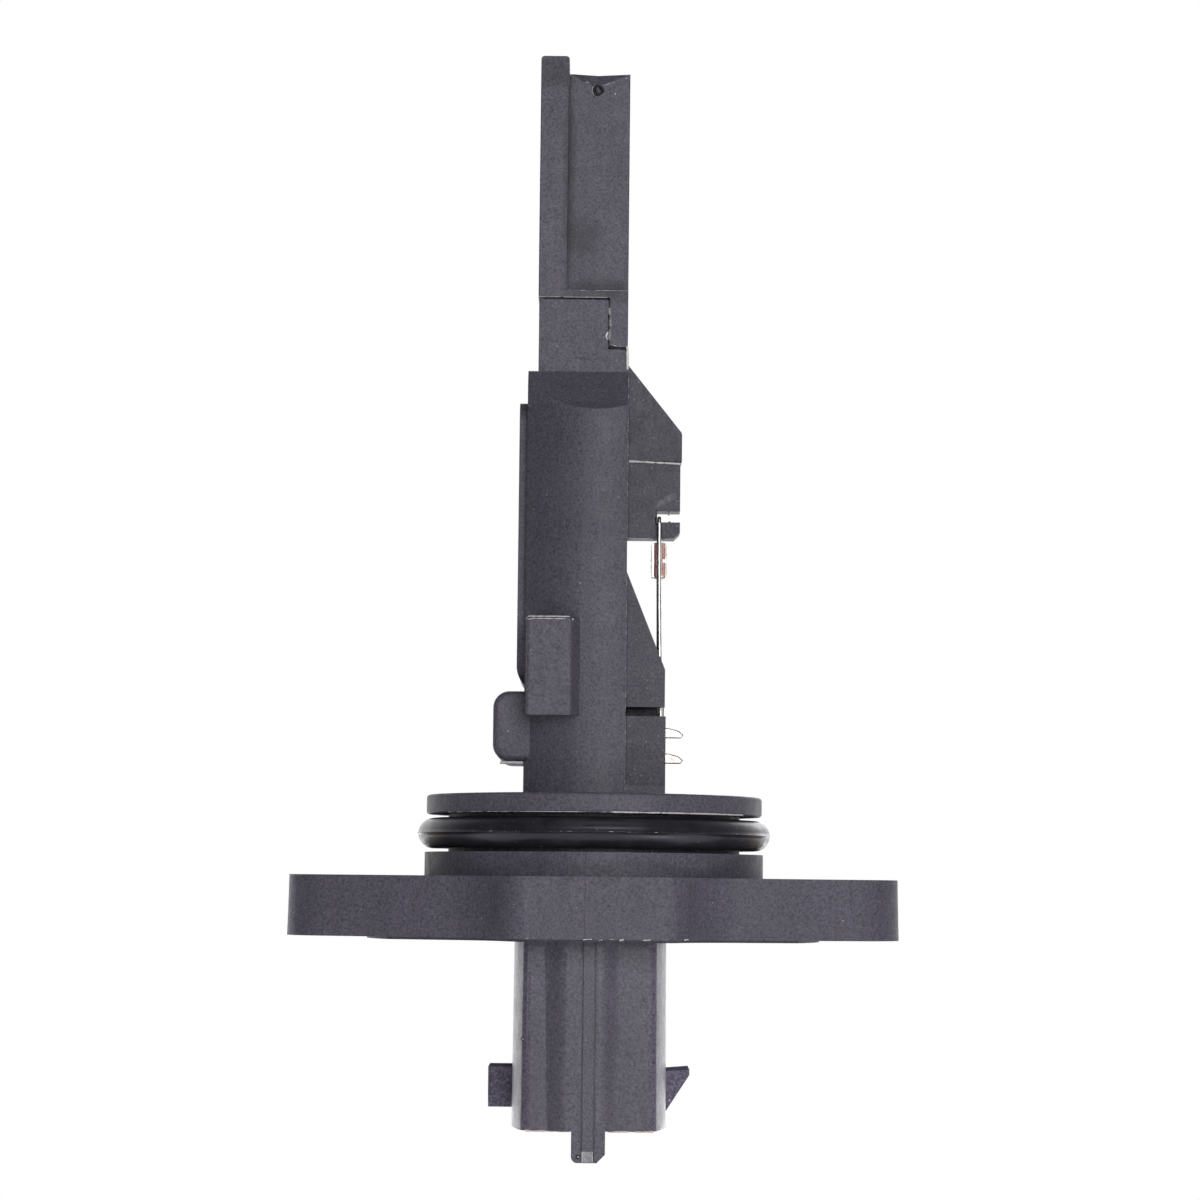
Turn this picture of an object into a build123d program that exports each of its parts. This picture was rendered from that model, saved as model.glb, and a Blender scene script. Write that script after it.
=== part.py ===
from build123d import *
import math
import os

# Plug-in mass airflow sensor, in millimetres.
# The origin lies on the spigot axis in the plane where the flange meets the duct.
# +Z points along the blade to its tip, +X to the side of the temperature bead,
# and -Y is the side of the blade with the rounded nose.

# How far cutters pass the faces they open, and added forms reach into the body
overrun = 1.0

# Flange and its screw sleeves
flange_length = 59.9
flange_thickness = 5.9
flange_end_width = 18.4
flange_shoulder_width = 29.2
flange_shoulder_span = 21.5
flange_depth = 38.6
land_width = 16.4
end_corner_radius = 5.5
hollow_radius = 6.5
land_corner_radius = 3.0
flange_draft = 1.2
pad_thickness = 0.25
pad_radius = 22.5
pad_inset = 1.2
core_out_radius = 12.8
core_out_height = 4.6
core_out_wall = 1.6
core_out_corner = 0.8
screw_spacing = 48.0
sleeve_diameter = 7.2
sleeve_bore = 4.6
sleeve_chamfer = 0.3

# Spigot, groove and seal ring
spigot_radius = 16.85
ring_height = 2.35
relief_play = 0.1
relief_depth = 0.3
disk_radius = 16.7
disk_height = 1.9
disk_edge_bevel = 0.3
seal_section = 3.0
seal_radius = 17.5
seal_flash = 0.15
seal_flash_thickness = 0.08
groove_play = 0.75

# Blade body with its rounded nose
blade_left = -6.95
blade_right = 2.93
blade_near = -11.5
blade_far = 11.4
nose_radius = 9.0
nose_axis = -0.1
blade_height = 49.75
facet_angle = 45.0

# Neck and the lap joint to the bypass duct
neck_left = -5.97
neck_right = 2.9
neck_near = -7.2
neck_rise = 7.3
lap_face = 0.84
lap_depth = 5.05
joint_gap = 0.12
skirt_gap = 0.15
plateau_near = -0.4
plateau_far = 8.4
plateau_height = 6.2

# Bypass duct
strip_right = -3.22
strip_left = -6.05
strip_height = 24.38
duct_right = 2.85
duct_height = 22.78
duct_far = 11.2
recess_depth = 1.2
step_groove = 0.16
strip_lean_height = 3.2
strip_lean = 0.3
strip_corner = 0.35
ledge_height = 0.7
duct_wall = 1.0
duct_far_radius = 0.6
duct_near_radius = 0.12
window_radius = 0.6
passage_left = -5.0
passage_right = 1.3
passage_rise = 6.33
passage_height = 10.8
turn_radius = 2.5
inlet_lip = 0.6
sink_depth = 0.7
sink_drop = 1.25
gate_depth = 0.35
gate_diameter = 0.9
gate_drop = 1.65
gate_x = -0.35
side_cover_gap = 0.15
outlet_near = -4.1
outlet_far = -1.0
outlet_rise = 2.43
outlet_height = 7.4

# Pocket for the electronics and its cover
bay_width = 13.2
bay_low = 20.0
bay_high = 46.0
bay_corner = 1.2
shelf_height = 3.2
prong_shelf_height = 2.2
cover_thickness = 0.8
cover_overlap = 0.75
cover_low_overlap = 1.2
cover_corner = 2.0
cover_end_height = 1.7
cover_end_depth = 0.75
rim_depth = 0.7
rim_width = 0.8
rim_gap = 0.15

# Lug, nose pad and wire guards
lug_reach = 3.0
lug_low = 11.2
lug_height = 6.8
lug_near = -9.0
lug_far = 7.0
lug_corner = 1.6
lug_edge = 0.6
nose_pad_left = -6.7
nose_pad_right = -2.4
nose_pad_low = 15.5
nose_pad_height = 9.6
nose_pad_stand = 1.7
nose_pad_flank = 0.85
nose_pad_edge = 0.35

arm_near = -6.1
arm_far = -3.1
arm_reach = 8.31
arm_slope_top = 50.6
arm_slope_low = 43.85
arm_line = 41.05
arm_line_step = 0.14
arm_low = 33.4
arm_corner = 0.5
notch_left = 5.92
notch_top = 36.1
notch_height = 1.1
nib_x = 7.12
nib_size = 0.14
slot_left = 5.72
slot_width = 0.66
slot_back = 0.9
saddle_thickness = 0.6
saddle_root = 0.2
hook_chamfer = 0.55

guard_near = -7.4
guard_wall = 1.2
trough_width = 3.2
guard_reach = 6.8
guard_top = 30.0
guard_knee = 20.33
guard_slit_top = 16.65
guard_slit_height = 0.9
guard_block_step = 0.1

# Temperature bead, its leads and posts
bead_x = 6.14
bead_y = -4.4
bead_middle = 31.3
bead_length = 3.6
bead_diameter = 1.6
bead_end_radius = 0.35
slug_diameter = 0.88
slug_length = 1.55
slug_offset = 0.1
chip_thickness = 0.34
chip_width = 0.36
lead_diameter = 0.44
loop_radius = 0.7
loop_height = 34.75
front_lead_x = 6.5
front_lead_y = -5.6
rear_lead_x = 6.3
lead_tail = 0.3
post_reach = 8.7
post_height = 1.0
post_thickness = 0.6
post_bevel = 0.1
post_upper = 14.2
post_lower = 11.75

# Connector shell
shell_middle = -0.24
shell_width = 14.8
shell_length = 28.2
shell_end_width = 12.4
shell_straight = 12.0
shell_corner = 0.8
shell_wall = 1.5
shell_depth = 18.1
shell_flare = 0.3
socket_depth = 16.5
lead_in = 0.4
land_left = -3.6
land_right = 1.75
land_rise = 0.8
land_slope = 1.3
land_curve = 1.8
rib_left = -0.82
rib_right = 0.18
rib_rise = 0.1
rib_groove = 0.18
key_left = -1.86
key_right = 1.36
key_drop = 2.95
key_thickness = 2.0
key_corner = 0.6
key_chamfer = 0.8
rib_slope_height = 1.15
rib_slope_depth = 0.6
guide_reach = 10.15
guide_top = 12.7
guide_height = 4.0
guide_width = 6.0
guide_slope_height = 1.4
guide_slope_depth = 1.0
lock_reach = 9.6
lock_top = 12.8
lock_lip = 0.55
lock_hook = 0.2
lock_height = 4.3
lock_width = 7.0

# Terminals moulded into the housing
terminal_count = 5
terminal_pitch = 4.0
terminal_width = 1.5
terminal_thickness = 0.64
terminal_recess = 4.2
terminal_point = 0.6
pad_pitch = 1.9
first_pad = -1.9
pad_width = 1.0
pad_end_gap = 0.6
jog_low = -4.0
jog_high = 7.0

# Electronics
plate_thickness = 1.0
plate_gap = 0.25
board_thickness = 0.65
board_margin = 0.5
chip_size = 6.4
chip_height = 1.0
chip_centre = 36.5
transistor_length = 4.4
transistor_width = 3.4
transistor_height = 1.3
transistor_y = 3.0
transistor_z = 28.6
capacitor_length = 2.0
capacitor_width = 1.25
capacitor_height = 1.2
capacitor_y = -4.3
capacitor_pitch = 3.4
capacitor_first = 28.0
capacitor_count = 4
ribbon_width = 0.4
ribbon_thickness = 0.12
ribbon_loop = 1.1
ribbon_landing = 0.7

# Sensing prongs and elements in the bypass passage
prong_size = 0.6
prong_jog = 3.3
prong_jog_drop = 9.05
prong_jog_height = 5.0
prong_pair_step = 1.3
prong_rise = 12.43
heater_y = 0.7
reference_y = 4.5
element_diameter = 0.7
element_length = 2.0
element_lead = 0.2
element_drop = 0.5

# Places that follow from the sizes above
groove_core = seal_radius - seal_section
relief_radius = seal_radius + seal_flash + relief_play
groove_width = seal_section + groove_play
disk_top = ring_height + groove_width + disk_height
seal_middle = ring_height + groove_width / 2
nose_centre = blade_near + nose_radius
shelf_face = shell_middle - terminal_thickness / 2
plate_floor = shelf_face + plate_thickness + board_thickness / 2
plate_face = plate_floor - plate_thickness
board_face = plate_face - board_thickness
trough_near = guard_near + guard_wall
trough_far = trough_near + trough_width
guard_far = trough_far + guard_wall
neck_top = blade_height + neck_rise
duct_low = neck_top + joint_gap
duct_top = duct_low + duct_height
strip_top = duct_low + strip_height
lap_floor = neck_top - lap_depth
passage_low = duct_low + passage_rise
passage_high = passage_low + passage_height
outlet_low = duct_low + outlet_rise
outlet_high = outlet_low + outlet_height
recess_face = neck_near + recess_depth
shell_near = -shell_length / 2
mouth = -flange_thickness - shell_depth
socket_floor = mouth + socket_depth
side_cover_left = passage_right
plateau_top = neck_top + plateau_height
prong_tip = duct_low + prong_rise
prong_jog_low = neck_top - prong_jog_drop
prong_jog_high = prong_jog_low + prong_jog_height


def upright(outline, low, high):
    """Raise an outline drawn in X and Y between two heights."""
    return Pos(0, 0, low) * extrude(outline, high - low)


def across(outline, near, far):
    """Thicken an outline drawn in X and Z between two depths."""
    return Pos(0, far, 0) * extrude(Plane.XZ * outline, far - near)


def sideways(outline, left, right):
    """Thicken an outline drawn in Y and Z between two values of X."""
    return Pos(left, 0, 0) * extrude(Plane.YZ * outline, right - left)


def polygon(*points):
    return make_face(Polyline(*points, close=True))


def rectangle(low_a, high_a, low_b, high_b, corner=0.0):
    """Rectangle between its edges, with rounded corners where a radius is given."""
    middle = Pos((low_a + high_a) / 2, (low_b + high_b) / 2)
    if corner > 0:
        return middle * RectangleRounded(high_a - low_a, high_b - low_b, corner)
    return middle * Rectangle(high_a - low_a, high_b - low_b)


def nose_depth(x):
    """Depth of the rounded nose at a place across the blade."""
    return nose_centre - math.sqrt(nose_radius**2 - (x - nose_axis) ** 2)


def flange_outline():
    half_length = flange_length / 2
    end = -flange_end_width / 2
    shoulder = -flange_shoulder_width / 2
    front = -flange_depth / 2
    near_side = FilletPolyline(
        (-half_length, 0),
        (-half_length, end),
        (-flange_shoulder_span / 2, shoulder),
        (-land_width / 2, front),
        (land_width / 2, front),
        (flange_shoulder_span / 2, shoulder),
        (half_length, end),
        (half_length, 0),
        radius=[
            end_corner_radius,
            hollow_radius,
            land_corner_radius,
            land_corner_radius,
            hollow_radius,
            end_corner_radius,
        ],
    )
    return make_face(near_side + mirror(near_side, about=Plane.XZ))


def flange():
    outline = flange_outline()
    plate = Pos(0, 0, -flange_thickness) * extrude(outline, flange_thickness, taper=flange_draft)
    pad = offset(outline, -pad_inset) & Circle(pad_radius)
    return plate + upright(pad, -flange_thickness - pad_thickness, -flange_thickness)


def core_outs():
    """Two crescent pockets that keep the wall even beside the connector shell."""
    wall = shell_width / 2 + core_out_wall
    pockets = Part()
    for side in (-1, 1):
        strip_middle = shell_middle + side * (wall + core_out_radius)
        strip = Pos(strip_middle, 0) * Rectangle(2 * core_out_radius, 2 * core_out_radius)
        crescent = Circle(core_out_radius) & strip
        crescent = fillet(crescent.vertices(), core_out_corner)
        pockets += upright(crescent, -flange_thickness - pad_thickness, core_out_height)
    return pockets


def sleeve_places():
    return [(-screw_spacing / 2, 0), (screw_spacing / 2, 0)]


def sleeve_holes():
    holes = Part()
    for x, y in sleeve_places():
        holes += Pos(x, y) * upright(Circle(sleeve_diameter / 2), -flange_thickness - pad_thickness, 0)
    return holes


def seat_relief():
    """Shallow recess round the foot of the spigot, wider than the seal ring."""
    return upright(Circle(relief_radius), -relief_depth, ring_height)


def spigot():
    profile = polygon(
        (0, -relief_depth),
        (spigot_radius, -relief_depth),
        (spigot_radius, ring_height),
        (groove_core, ring_height),
        (groove_core, ring_height + groove_width),
        (disk_radius, ring_height + groove_width),
        (disk_radius, disk_top),
        (0, disk_top),
    )
    halfway = (groove_core + disk_radius) / 2
    rim = profile.vertices().filter_by(lambda corner: corner.X > halfway and corner.Y > seal_middle)
    profile = chamfer(rim, disk_edge_bevel)
    return revolve(Plane.XZ * profile, axis=Axis.Z)


def blade_section(left, right):
    """Section of the blade body: round nose at the near side, full round at the far side."""
    far_flat = blade_far - (right - left) / 2
    nose = ThreePointArc(
        (left, nose_depth(left)),
        (nose_axis, blade_near),
        (right, nose_depth(right)),
    )
    far_end = ThreePointArc((left, far_flat), ((left + right) / 2, blade_far), (right, far_flat))
    left_side = Line((left, nose_depth(left)), (left, far_flat))
    right_side = Line((right, nose_depth(right)), (right, far_flat))
    return make_face(nose + far_end + left_side + right_side)


def blade():
    body = upright(blade_section(blade_left, blade_right), disk_top - disk_height, blade_height)
    run = neck_near - blade_near + overrun
    fall = run * math.tan(math.radians(facet_angle))
    facet = polygon(
        (neck_near, blade_height),
        (neck_near - run, blade_height),
        (neck_near - run, blade_height - fall),
    )
    return body - sideways(facet, blade_left - overrun, blade_right + overrun)


def neck():
    far_flat = blade_far - (neck_right - neck_left) / 2
    far_end = ThreePointArc(
        (neck_left, far_flat), ((neck_left + neck_right) / 2, blade_far), (neck_right, far_flat)
    )
    walls = Polyline((neck_left, far_flat), (neck_left, neck_near), (neck_right, neck_near), (neck_right, far_flat))
    column = upright(make_face(far_end + walls), bay_high, neck_top)
    lap = rectangle(lap_face, neck_right + overrun, neck_near - overrun, blade_far + overrun)
    lap = upright(lap, lap_floor, neck_top + overrun)
    plateau = upright(
        rectangle(
            passage_left + joint_gap,
            passage_right - joint_gap,
            plateau_near,
            plateau_far,
            window_radius,
        ),
        neck_top - overrun,
        plateau_top,
    )
    below = rectangle(lap_face, passage_right + overrun, plateau_near - overrun, plateau_far + overrun)
    plateau -= upright(below, neck_top - 2 * overrun, neck_top)
    return column - lap + plateau


def lug():
    outline = rectangle(
        blade_left - lug_reach, blade_left + lug_reach, lug_low, lug_low + lug_height, lug_corner
    )
    body = across(outline, lug_near, lug_far)
    ends = body.edges().group_by(Axis.Y)
    return fillet(ends[0] + ends[-1], lug_edge)


def nose_pad():
    """Raised pad on the rounded nose: its near face is flat, with soft edges but at the foot."""
    front = blade_near - nose_pad_stand
    back = blade_near + nose_radius
    flank = nose_pad_right + nose_pad_flank
    left = nose_pad_left
    section = polygon(
        (left, front),
        (nose_pad_right, front),
        (flank, nose_depth(flank)),
        (flank, back),
        (left, back),
    )
    section = fillet(section.vertices().group_by(Axis.Y)[0], nose_pad_edge)
    pad = upright(section, nose_pad_low, nose_pad_low + nose_pad_height)
    rim = pad.edges().group_by(Axis.Z)[-1].filter_by(lambda edge: edge.center().Y < back)
    return fillet(rim, nose_pad_edge)


def upper_arm():
    """Guard above the bead, with the notch, slot and saddle that hold the hooked lead."""
    inside = blade_right - overrun
    outline = polygon(
        (inside, arm_slope_top),
        (blade_right, arm_slope_top),
        (arm_reach, arm_slope_low),
        (arm_reach, arm_line),
        (arm_reach - arm_line_step, arm_line - arm_line_step),
        (arm_reach - arm_line_step, arm_low),
        (inside, arm_low),
    )
    knee = outline.vertices().sort_by_distance((arm_reach, arm_slope_low))[0]
    outline = fillet(knee, arm_corner)
    hook = outline.vertices().sort_by_distance((arm_reach - arm_line_step, arm_low))[0]
    outline = chamfer(hook, hook_chamfer)
    arm = across(outline, arm_near, arm_far)
    relief = rectangle(blade_right, arm_reach + overrun, arm_low - overrun, arm_line)
    arm -= across(relief, arm_near - overrun, arm_near + arm_line_step)
    notch_low = notch_top - notch_height
    notch = rectangle(notch_left, arm_reach + overrun, notch_low, notch_top)
    for edge, side in ((notch_top, -1), (notch_low, 1)):
        notch -= polygon(
            (nib_x - nib_size, edge),
            (nib_x, edge + side * nib_size),
            (nib_x + nib_size, edge),
        )
    arm -= across(notch, arm_near - overrun, arm_far + overrun)
    slot = rectangle(slot_left, slot_left + slot_width, arm_low - overrun, notch_low + notch_height / 2)
    arm -= across(slot, arm_near - overrun, arm_far - slot_back)
    return arm + saddle()


def saddle():
    """Round-topped web in the slot that the hooked lead passes over."""
    middle = bead_y - loop_radius
    half = saddle_thickness / 2
    crown = loop_height + loop_radius - lead_diameter - half
    web = rectangle(middle - half, middle + half, arm_low, crown) + Pos(middle, crown) * Circle(half)
    return sideways(web, slot_left - saddle_root, slot_left + slot_width + saddle_root)


def guard_profile(top, knee, low):
    inside = blade_right - overrun
    return polygon(
        (inside, top),
        (blade_right, top),
        (guard_reach, knee),
        (guard_reach, low),
        (inside, low),
    )


def lower_guard():
    """Two walls with a trough between them, in which both leads run down to their posts."""
    inside = blade_right - overrun
    slit_low = guard_slit_top - guard_slit_height
    foot = disk_top - disk_height / 2
    front_arm = across(guard_profile(guard_top, guard_knee, guard_slit_top), guard_near, trough_near)
    block = rectangle(inside, guard_reach + guard_block_step, foot, slit_low)
    front_block = across(block, guard_near, trough_near)
    rear_wall = across(guard_profile(guard_top, guard_knee, foot), trough_far, guard_far)
    return front_arm + front_block + rear_wall


def shell_outline(growth):
    """Plan of the connector shell: flat ends, and sides that bow out to the full width."""
    side = shell_width / 2
    end = shell_end_width / 2
    straight = shell_straight / 2
    tip = shell_length / 2
    right = (
        Line((side, -straight), (side, straight))
        + TangentArc((side, straight), (end, tip), tangent=(0, 1))
        + TangentArc((side, -straight), (end, -tip), tangent=(0, -1))
    )
    ends = Line((end, tip), (-end, tip)) + Line((end, -tip), (-end, -tip))
    plan = make_face(right + mirror(right, about=Plane.YZ) + ends)
    plan = fillet(plan.vertices().filter_by(lambda corner: abs(corner.Y) > tip - shell_corner), shell_corner)
    return Pos(shell_middle, 0) * offset(plan, growth)


def connector_shell():
    widening = math.tan(math.radians(shell_flare)) * shell_depth
    shell = Pos(0, 0, mouth) * extrude(shell_outline(widening), shell_depth, taper=shell_flare)
    return shell + connector_land() + connector_key() - rib_grooves() + guide_block() + lock_ramp()


def connector_socket():
    socket = upright(shell_outline(-shell_wall), mouth - overrun, socket_floor)
    flare = Pos(0, 0, mouth) * extrude(shell_outline(lead_in - shell_wall), 2 * lead_in, taper=45)
    return socket + flare


def connector_land():
    """Softly raised land along the near side, with the thin rib on its middle."""
    front = shell_near - land_rise
    back = shell_near + shell_wall
    crest = FilletPolyline(
        (land_left - 2 * land_slope, shell_near),
        (land_left - land_slope / 2, shell_near),
        (land_left + land_slope / 2, front),
        (land_right - land_slope / 2, front),
        (land_right + land_slope / 2, shell_near),
        (land_right + 2 * land_slope, shell_near),
        radius=land_curve,
    )
    closing = Polyline(
        crest @ 0,
        (land_left - 2 * land_slope, back),
        (land_right + 2 * land_slope, back),
        crest @ 1,
    )
    rib = rectangle(rib_left, rib_right, front - rib_rise, back)
    land = upright(make_face(crest + closing), mouth, -flange_thickness)
    return land + upright(rib, mouth, -flange_thickness)


def rib_grooves():
    """Fine groove along each side of the rib."""
    front = shell_near - land_rise
    floor = front + rib_groove
    grooves = rectangle(rib_left - rib_groove, rib_left, front - overrun, floor)
    grooves += rectangle(rib_right, rib_right + rib_groove, front - overrun, floor)
    return upright(grooves, mouth - key_drop - overrun, -flange_thickness)


def connector_key():
    """Key beyond the mouth: one corner rounded, one cut off, and a sloped end on the rib."""
    front = shell_near - land_rise
    low = mouth - key_drop
    face = polygon((key_left, mouth + overrun), (key_left, low), (key_right, low), (key_right, mouth + overrun))
    face = fillet(face.vertices().sort_by_distance((key_left, low))[0], key_corner)
    face = chamfer(face.vertices().sort_by_distance((key_right, low))[0], key_chamfer)
    key = across(face, front, front + key_thickness)
    rib = polygon(
        (front, mouth + overrun),
        (front - rib_rise, mouth + overrun),
        (front - rib_rise, low + rib_slope_height),
        (front + rib_slope_depth, low),
        (front + rib_slope_depth, mouth + overrun),
    )
    return key + sideways(rib, rib_left, rib_right)


def guide_block():
    top = -flange_thickness - guide_top
    low = top - guide_height
    near = -guide_width / 2
    far = guide_width / 2
    side = polygon(
        (near, top),
        (near, low + guide_slope_height),
        (near + guide_slope_depth, low),
        (far, low),
        (far, top),
    )
    return sideways(side, -guide_reach, shell_middle)


def lock_ramp():
    top = -flange_thickness - lock_top
    face = shell_middle + shell_width / 2
    outline = polygon(
        (shell_middle, top - lock_hook),
        (face, top - lock_hook),
        (lock_reach, top),
        (lock_reach, top - lock_lip),
        (face, top - lock_height),
        (shell_middle, top - lock_height),
    )
    return across(outline, -lock_width / 2, lock_width / 2)


def bay_outline(shrink, low, high):
    half = bay_width / 2 - shrink
    return rectangle(-half, half, low, high, bay_corner - shrink)


def electronics_bay():
    """Pocket open to the left: a shelf for the terminal pads and a deeper seat for the board."""
    pocket = sideways(bay_outline(0, bay_low, bay_high), blade_left - overrun, shelf_face)
    half = bay_width / 2
    seat = rectangle(-half, half, bay_low + shelf_height, bay_high - prong_shelf_height)
    return pocket + sideways(seat, shelf_face - overrun, plate_floor)


def main_housing(inserts):
    housing = flange() - seat_relief() + spigot() + blade() + neck()
    housing += lug() + nose_pad() + upper_arm() + lower_guard() + connector_shell()
    housing -= connector_socket() + electronics_bay() + core_outs() + sleeve_holes()
    for insert in inserts:
        housing -= insert
    return housing


def seal_ring():
    """Ring with the thin flash of its mould round the outside."""
    core = seal_radius - seal_section / 2
    section = Pos(core, seal_middle) * Circle(seal_section / 2)
    half = seal_flash_thickness / 2
    section += rectangle(core, seal_radius + seal_flash, seal_middle - half, seal_middle + half)
    return revolve(Plane.XZ * section, axis=Axis.Z)


def screw_sleeve(x, y):
    half = sleeve_diameter / 2
    bore = sleeve_bore / 2
    profile = polygon((bore, -flange_thickness), (half, -flange_thickness), (half, 0), (bore, 0))
    inner = profile.vertices().group_by(Axis.X)[0]
    profile = chamfer(inner, sleeve_chamfer)
    return Pos(x, y) * revolve(Plane.XZ * profile, axis=Axis.Z)


def connector_terminal(index):
    """Flat stamped terminal: blade in the socket, a jog in the flange and a pad in the bay."""
    blade_y = (index - (terminal_count - 1) / 2) * terminal_pitch
    pad_y = first_pad + index * pad_pitch
    half = terminal_width / 2
    pad_half = pad_width / 2
    tip = mouth + terminal_recess
    top = bay_low + shelf_height - pad_end_gap
    outline = polygon(
        (blade_y - half, tip + terminal_point),
        (blade_y - half / 2, tip),
        (blade_y + half / 2, tip),
        (blade_y + half, tip + terminal_point),
        (blade_y + half, jog_low),
        (pad_y + pad_half, jog_high),
        (pad_y + pad_half, top),
        (pad_y - pad_half, top),
        (pad_y - pad_half, jog_high),
        (blade_y - half, jog_low),
    )
    return sideways(outline, shelf_face, shelf_face + terminal_thickness)


def lead_post(height, near):
    """L-shaped stamping: a pointed post outside for one lead, and its pad in the bay."""
    half = post_height / 2
    inner = shelf_face
    top = bay_low + shelf_height - pad_end_gap
    outline = polygon(
        (inner, height - half),
        (post_reach - half / 2, height - half),
        (post_reach, height - half / 3),
        (post_reach - half, height + half / 2),
        (post_reach - 2 * half - pad_width / 2, height + half),
        (inner + pad_width, height + half),
        (inner + pad_width, top),
        (inner, top),
    )
    stamping = across(outline, near, near + post_thickness)
    faces = stamping.edges().group_by(Axis.Y)
    return chamfer(faces[0] + faces[-1], post_bevel)


def upper_lead_post():
    return lead_post(post_upper, front_lead_y + lead_diameter / 2)


def lower_lead_post():
    return lead_post(post_lower, bead_y + lead_diameter / 2)


def hooked_lead():
    """Lead that leaves the bead upwards, loops over the saddle and comes down in front."""
    start = Vector(bead_x, bead_y, bead_middle + chip_thickness / 2 + slug_length)
    crest_back = Vector(bead_x, bead_y, loop_height)
    crest = Vector(bead_x, bead_y - loop_radius, loop_height + loop_radius)
    crest_front = Vector(bead_x, bead_y - 2 * loop_radius, loop_height)
    tail = Vector(front_lead_x, front_lead_y, post_upper - lead_tail)
    rise = Line(start, crest_back)
    loop = ThreePointArc(crest_back, crest, crest_front)
    fall = TangentArc(crest_front, tail, tangent=(0, 0, -1))
    section = Plane(origin=start, z_dir=(0, 0, 1)) * Circle(lead_diameter / 2)
    return sweep(section, path=Wire([rise.edge(), loop.edge(), fall.edge()]))


def straight_lead():
    start = Vector(bead_x, bead_y, bead_middle - chip_thickness / 2 - slug_length)
    tail = Vector(rear_lead_x, bead_y, post_lower - lead_tail)
    path = Line(start, tail)
    section = Plane(origin=start, z_dir=path % 0) * Circle(lead_diameter / 2)
    return sweep(section, path=path)


def bead_place():
    return Pos(bead_x, bead_y, bead_middle)


def thermistor_slug(side):
    middle = side * (chip_thickness / 2 + slug_length / 2)
    return bead_place() * Pos(slug_offset, 0, middle) * Cylinder(slug_diameter / 2, slug_length)


def thermistor_chip():
    return bead_place() * Pos(slug_offset, 0, 0) * Box(chip_width, chip_width, chip_thickness)


def thermistor_glass():
    """Clear glass sleeve, sealed round both slugs and the chip."""
    half = bead_length / 2
    profile = rectangle(0, bead_diameter / 2, -half, half)
    profile = fillet(profile.vertices().group_by(Axis.X)[-1], bead_end_radius)
    glass = bead_place() * revolve(Plane.XZ * profile, axis=Axis.Z)
    core = Cylinder(slug_diameter / 2, 2 * slug_length + chip_thickness)
    return glass - bead_place() * Pos(slug_offset, 0, 0) * core - hooked_lead() - straight_lead()


def duct_plan(left, right, near):
    """Plan of a duct block: all but sharp at the near side, rounded at the far side."""
    plan = rectangle(left, right, near, duct_far)
    corners = plan.vertices().group_by(Axis.Y)
    plan = fillet(corners[-1], duct_far_radius)
    return fillet(plan.vertices().group_by(Axis.Y)[0], duct_near_radius)


def tall_strip():
    """Left strip of the duct: its top leans back a little and has rounded corners."""
    strip = upright(duct_plan(strip_left, strip_right, neck_near), duct_low, strip_top)
    lean = polygon(
        (neck_near, strip_top - strip_lean_height),
        (neck_near + strip_lean, strip_top),
        (neck_near - overrun, strip_top),
        (neck_near - overrun, strip_top - strip_lean_height),
    )
    strip -= sideways(lean, strip_left - overrun, strip_right + overrun)
    crown = rectangle(strip_left, strip_right, duct_low, strip_top)
    crown = fillet(crown.vertices().group_by(Axis.Y)[-1], strip_corner)
    return strip & across(crown, neck_near - overrun, duct_far + overrun)


def bypass_duct():
    """Tip moulding: a tall strip at the left and a box that is set back from its near face."""
    box = upright(duct_plan(strip_left, duct_right, recess_face), duct_low, duct_top)
    foot = upright(duct_plan(strip_left, duct_right, neck_near), duct_low, duct_low + ledge_height)
    skirt_low = lap_floor + skirt_gap
    skirt = upright(duct_plan(lap_face + joint_gap, duct_right, neck_near), skirt_low, duct_low + ledge_height)
    duct = box - foot_groove() + tall_strip() + foot + skirt
    duct -= duct_passage() + inlet_mouth() + side_cover_seat()
    duct -= tip_sink() + gate_mark()
    far_flat = blade_far - (neck_right - neck_left) / 2
    edge = duct_far - far_flat
    return duct - far_edges(skirt_low, edge)


def foot_groove():
    """Fine groove where the set-back face meets the tall strip."""
    groove = rectangle(strip_right, strip_right + step_groove, recess_face - overrun, recess_face + step_groove)
    return upright(groove, duct_low + ledge_height, duct_top + overrun)


def far_edges(skirt_low, edge):
    """Round the lower far edge of the skirt to the full round of the neck."""
    middle = (neck_left + neck_right) / 2
    radius = (neck_right - neck_left) / 2
    centre = blade_far - radius
    corner = rectangle(middle, duct_right + overrun, centre, duct_far + overrun)
    corner -= Pos(middle, centre) * Circle(radius)
    return upright(corner, skirt_low - overrun, duct_low)


def duct_passage():
    """Hollow of the duct, open to the right: straight run, turn down and room for the plateau."""
    near = recess_face + duct_wall
    floor = duct_low + duct_wall
    run = rectangle(near, duct_far + overrun, passage_low, passage_high)
    turn = rectangle(near, plateau_near - joint_gap, floor, passage_high)
    hollow = run + turn
    bend = hollow.vertices().sort_by_distance((near, passage_high))[0]
    hollow = fillet(bend, turn_radius)
    hollow += rectangle(plateau_near - joint_gap, plateau_far + joint_gap, duct_low - overrun, passage_low)
    return sideways(hollow, passage_left, passage_right)


def inlet_mouth():
    """Bevel round the inlet in the far face."""
    window = rectangle(passage_left, passage_right, passage_low, passage_high)
    wide = offset(window, inlet_lip, kind=Kind.INTERSECTION)
    mouth_plane = Plane(origin=(0, duct_far, 0), x_dir=(1, 0, 0), z_dir=(0, -1, 0))
    return extrude(mouth_plane * wide, inlet_lip, taper=45)


def side_cover_outline(gap):
    near = recess_face + duct_wall / 2 + gap
    far = duct_far - duct_wall + inlet_lip / 2 - gap
    low = duct_low + duct_wall / 2 + gap
    high = passage_high + 2 * duct_wall - gap
    return rectangle(near, far, low, high, window_radius)


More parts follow.
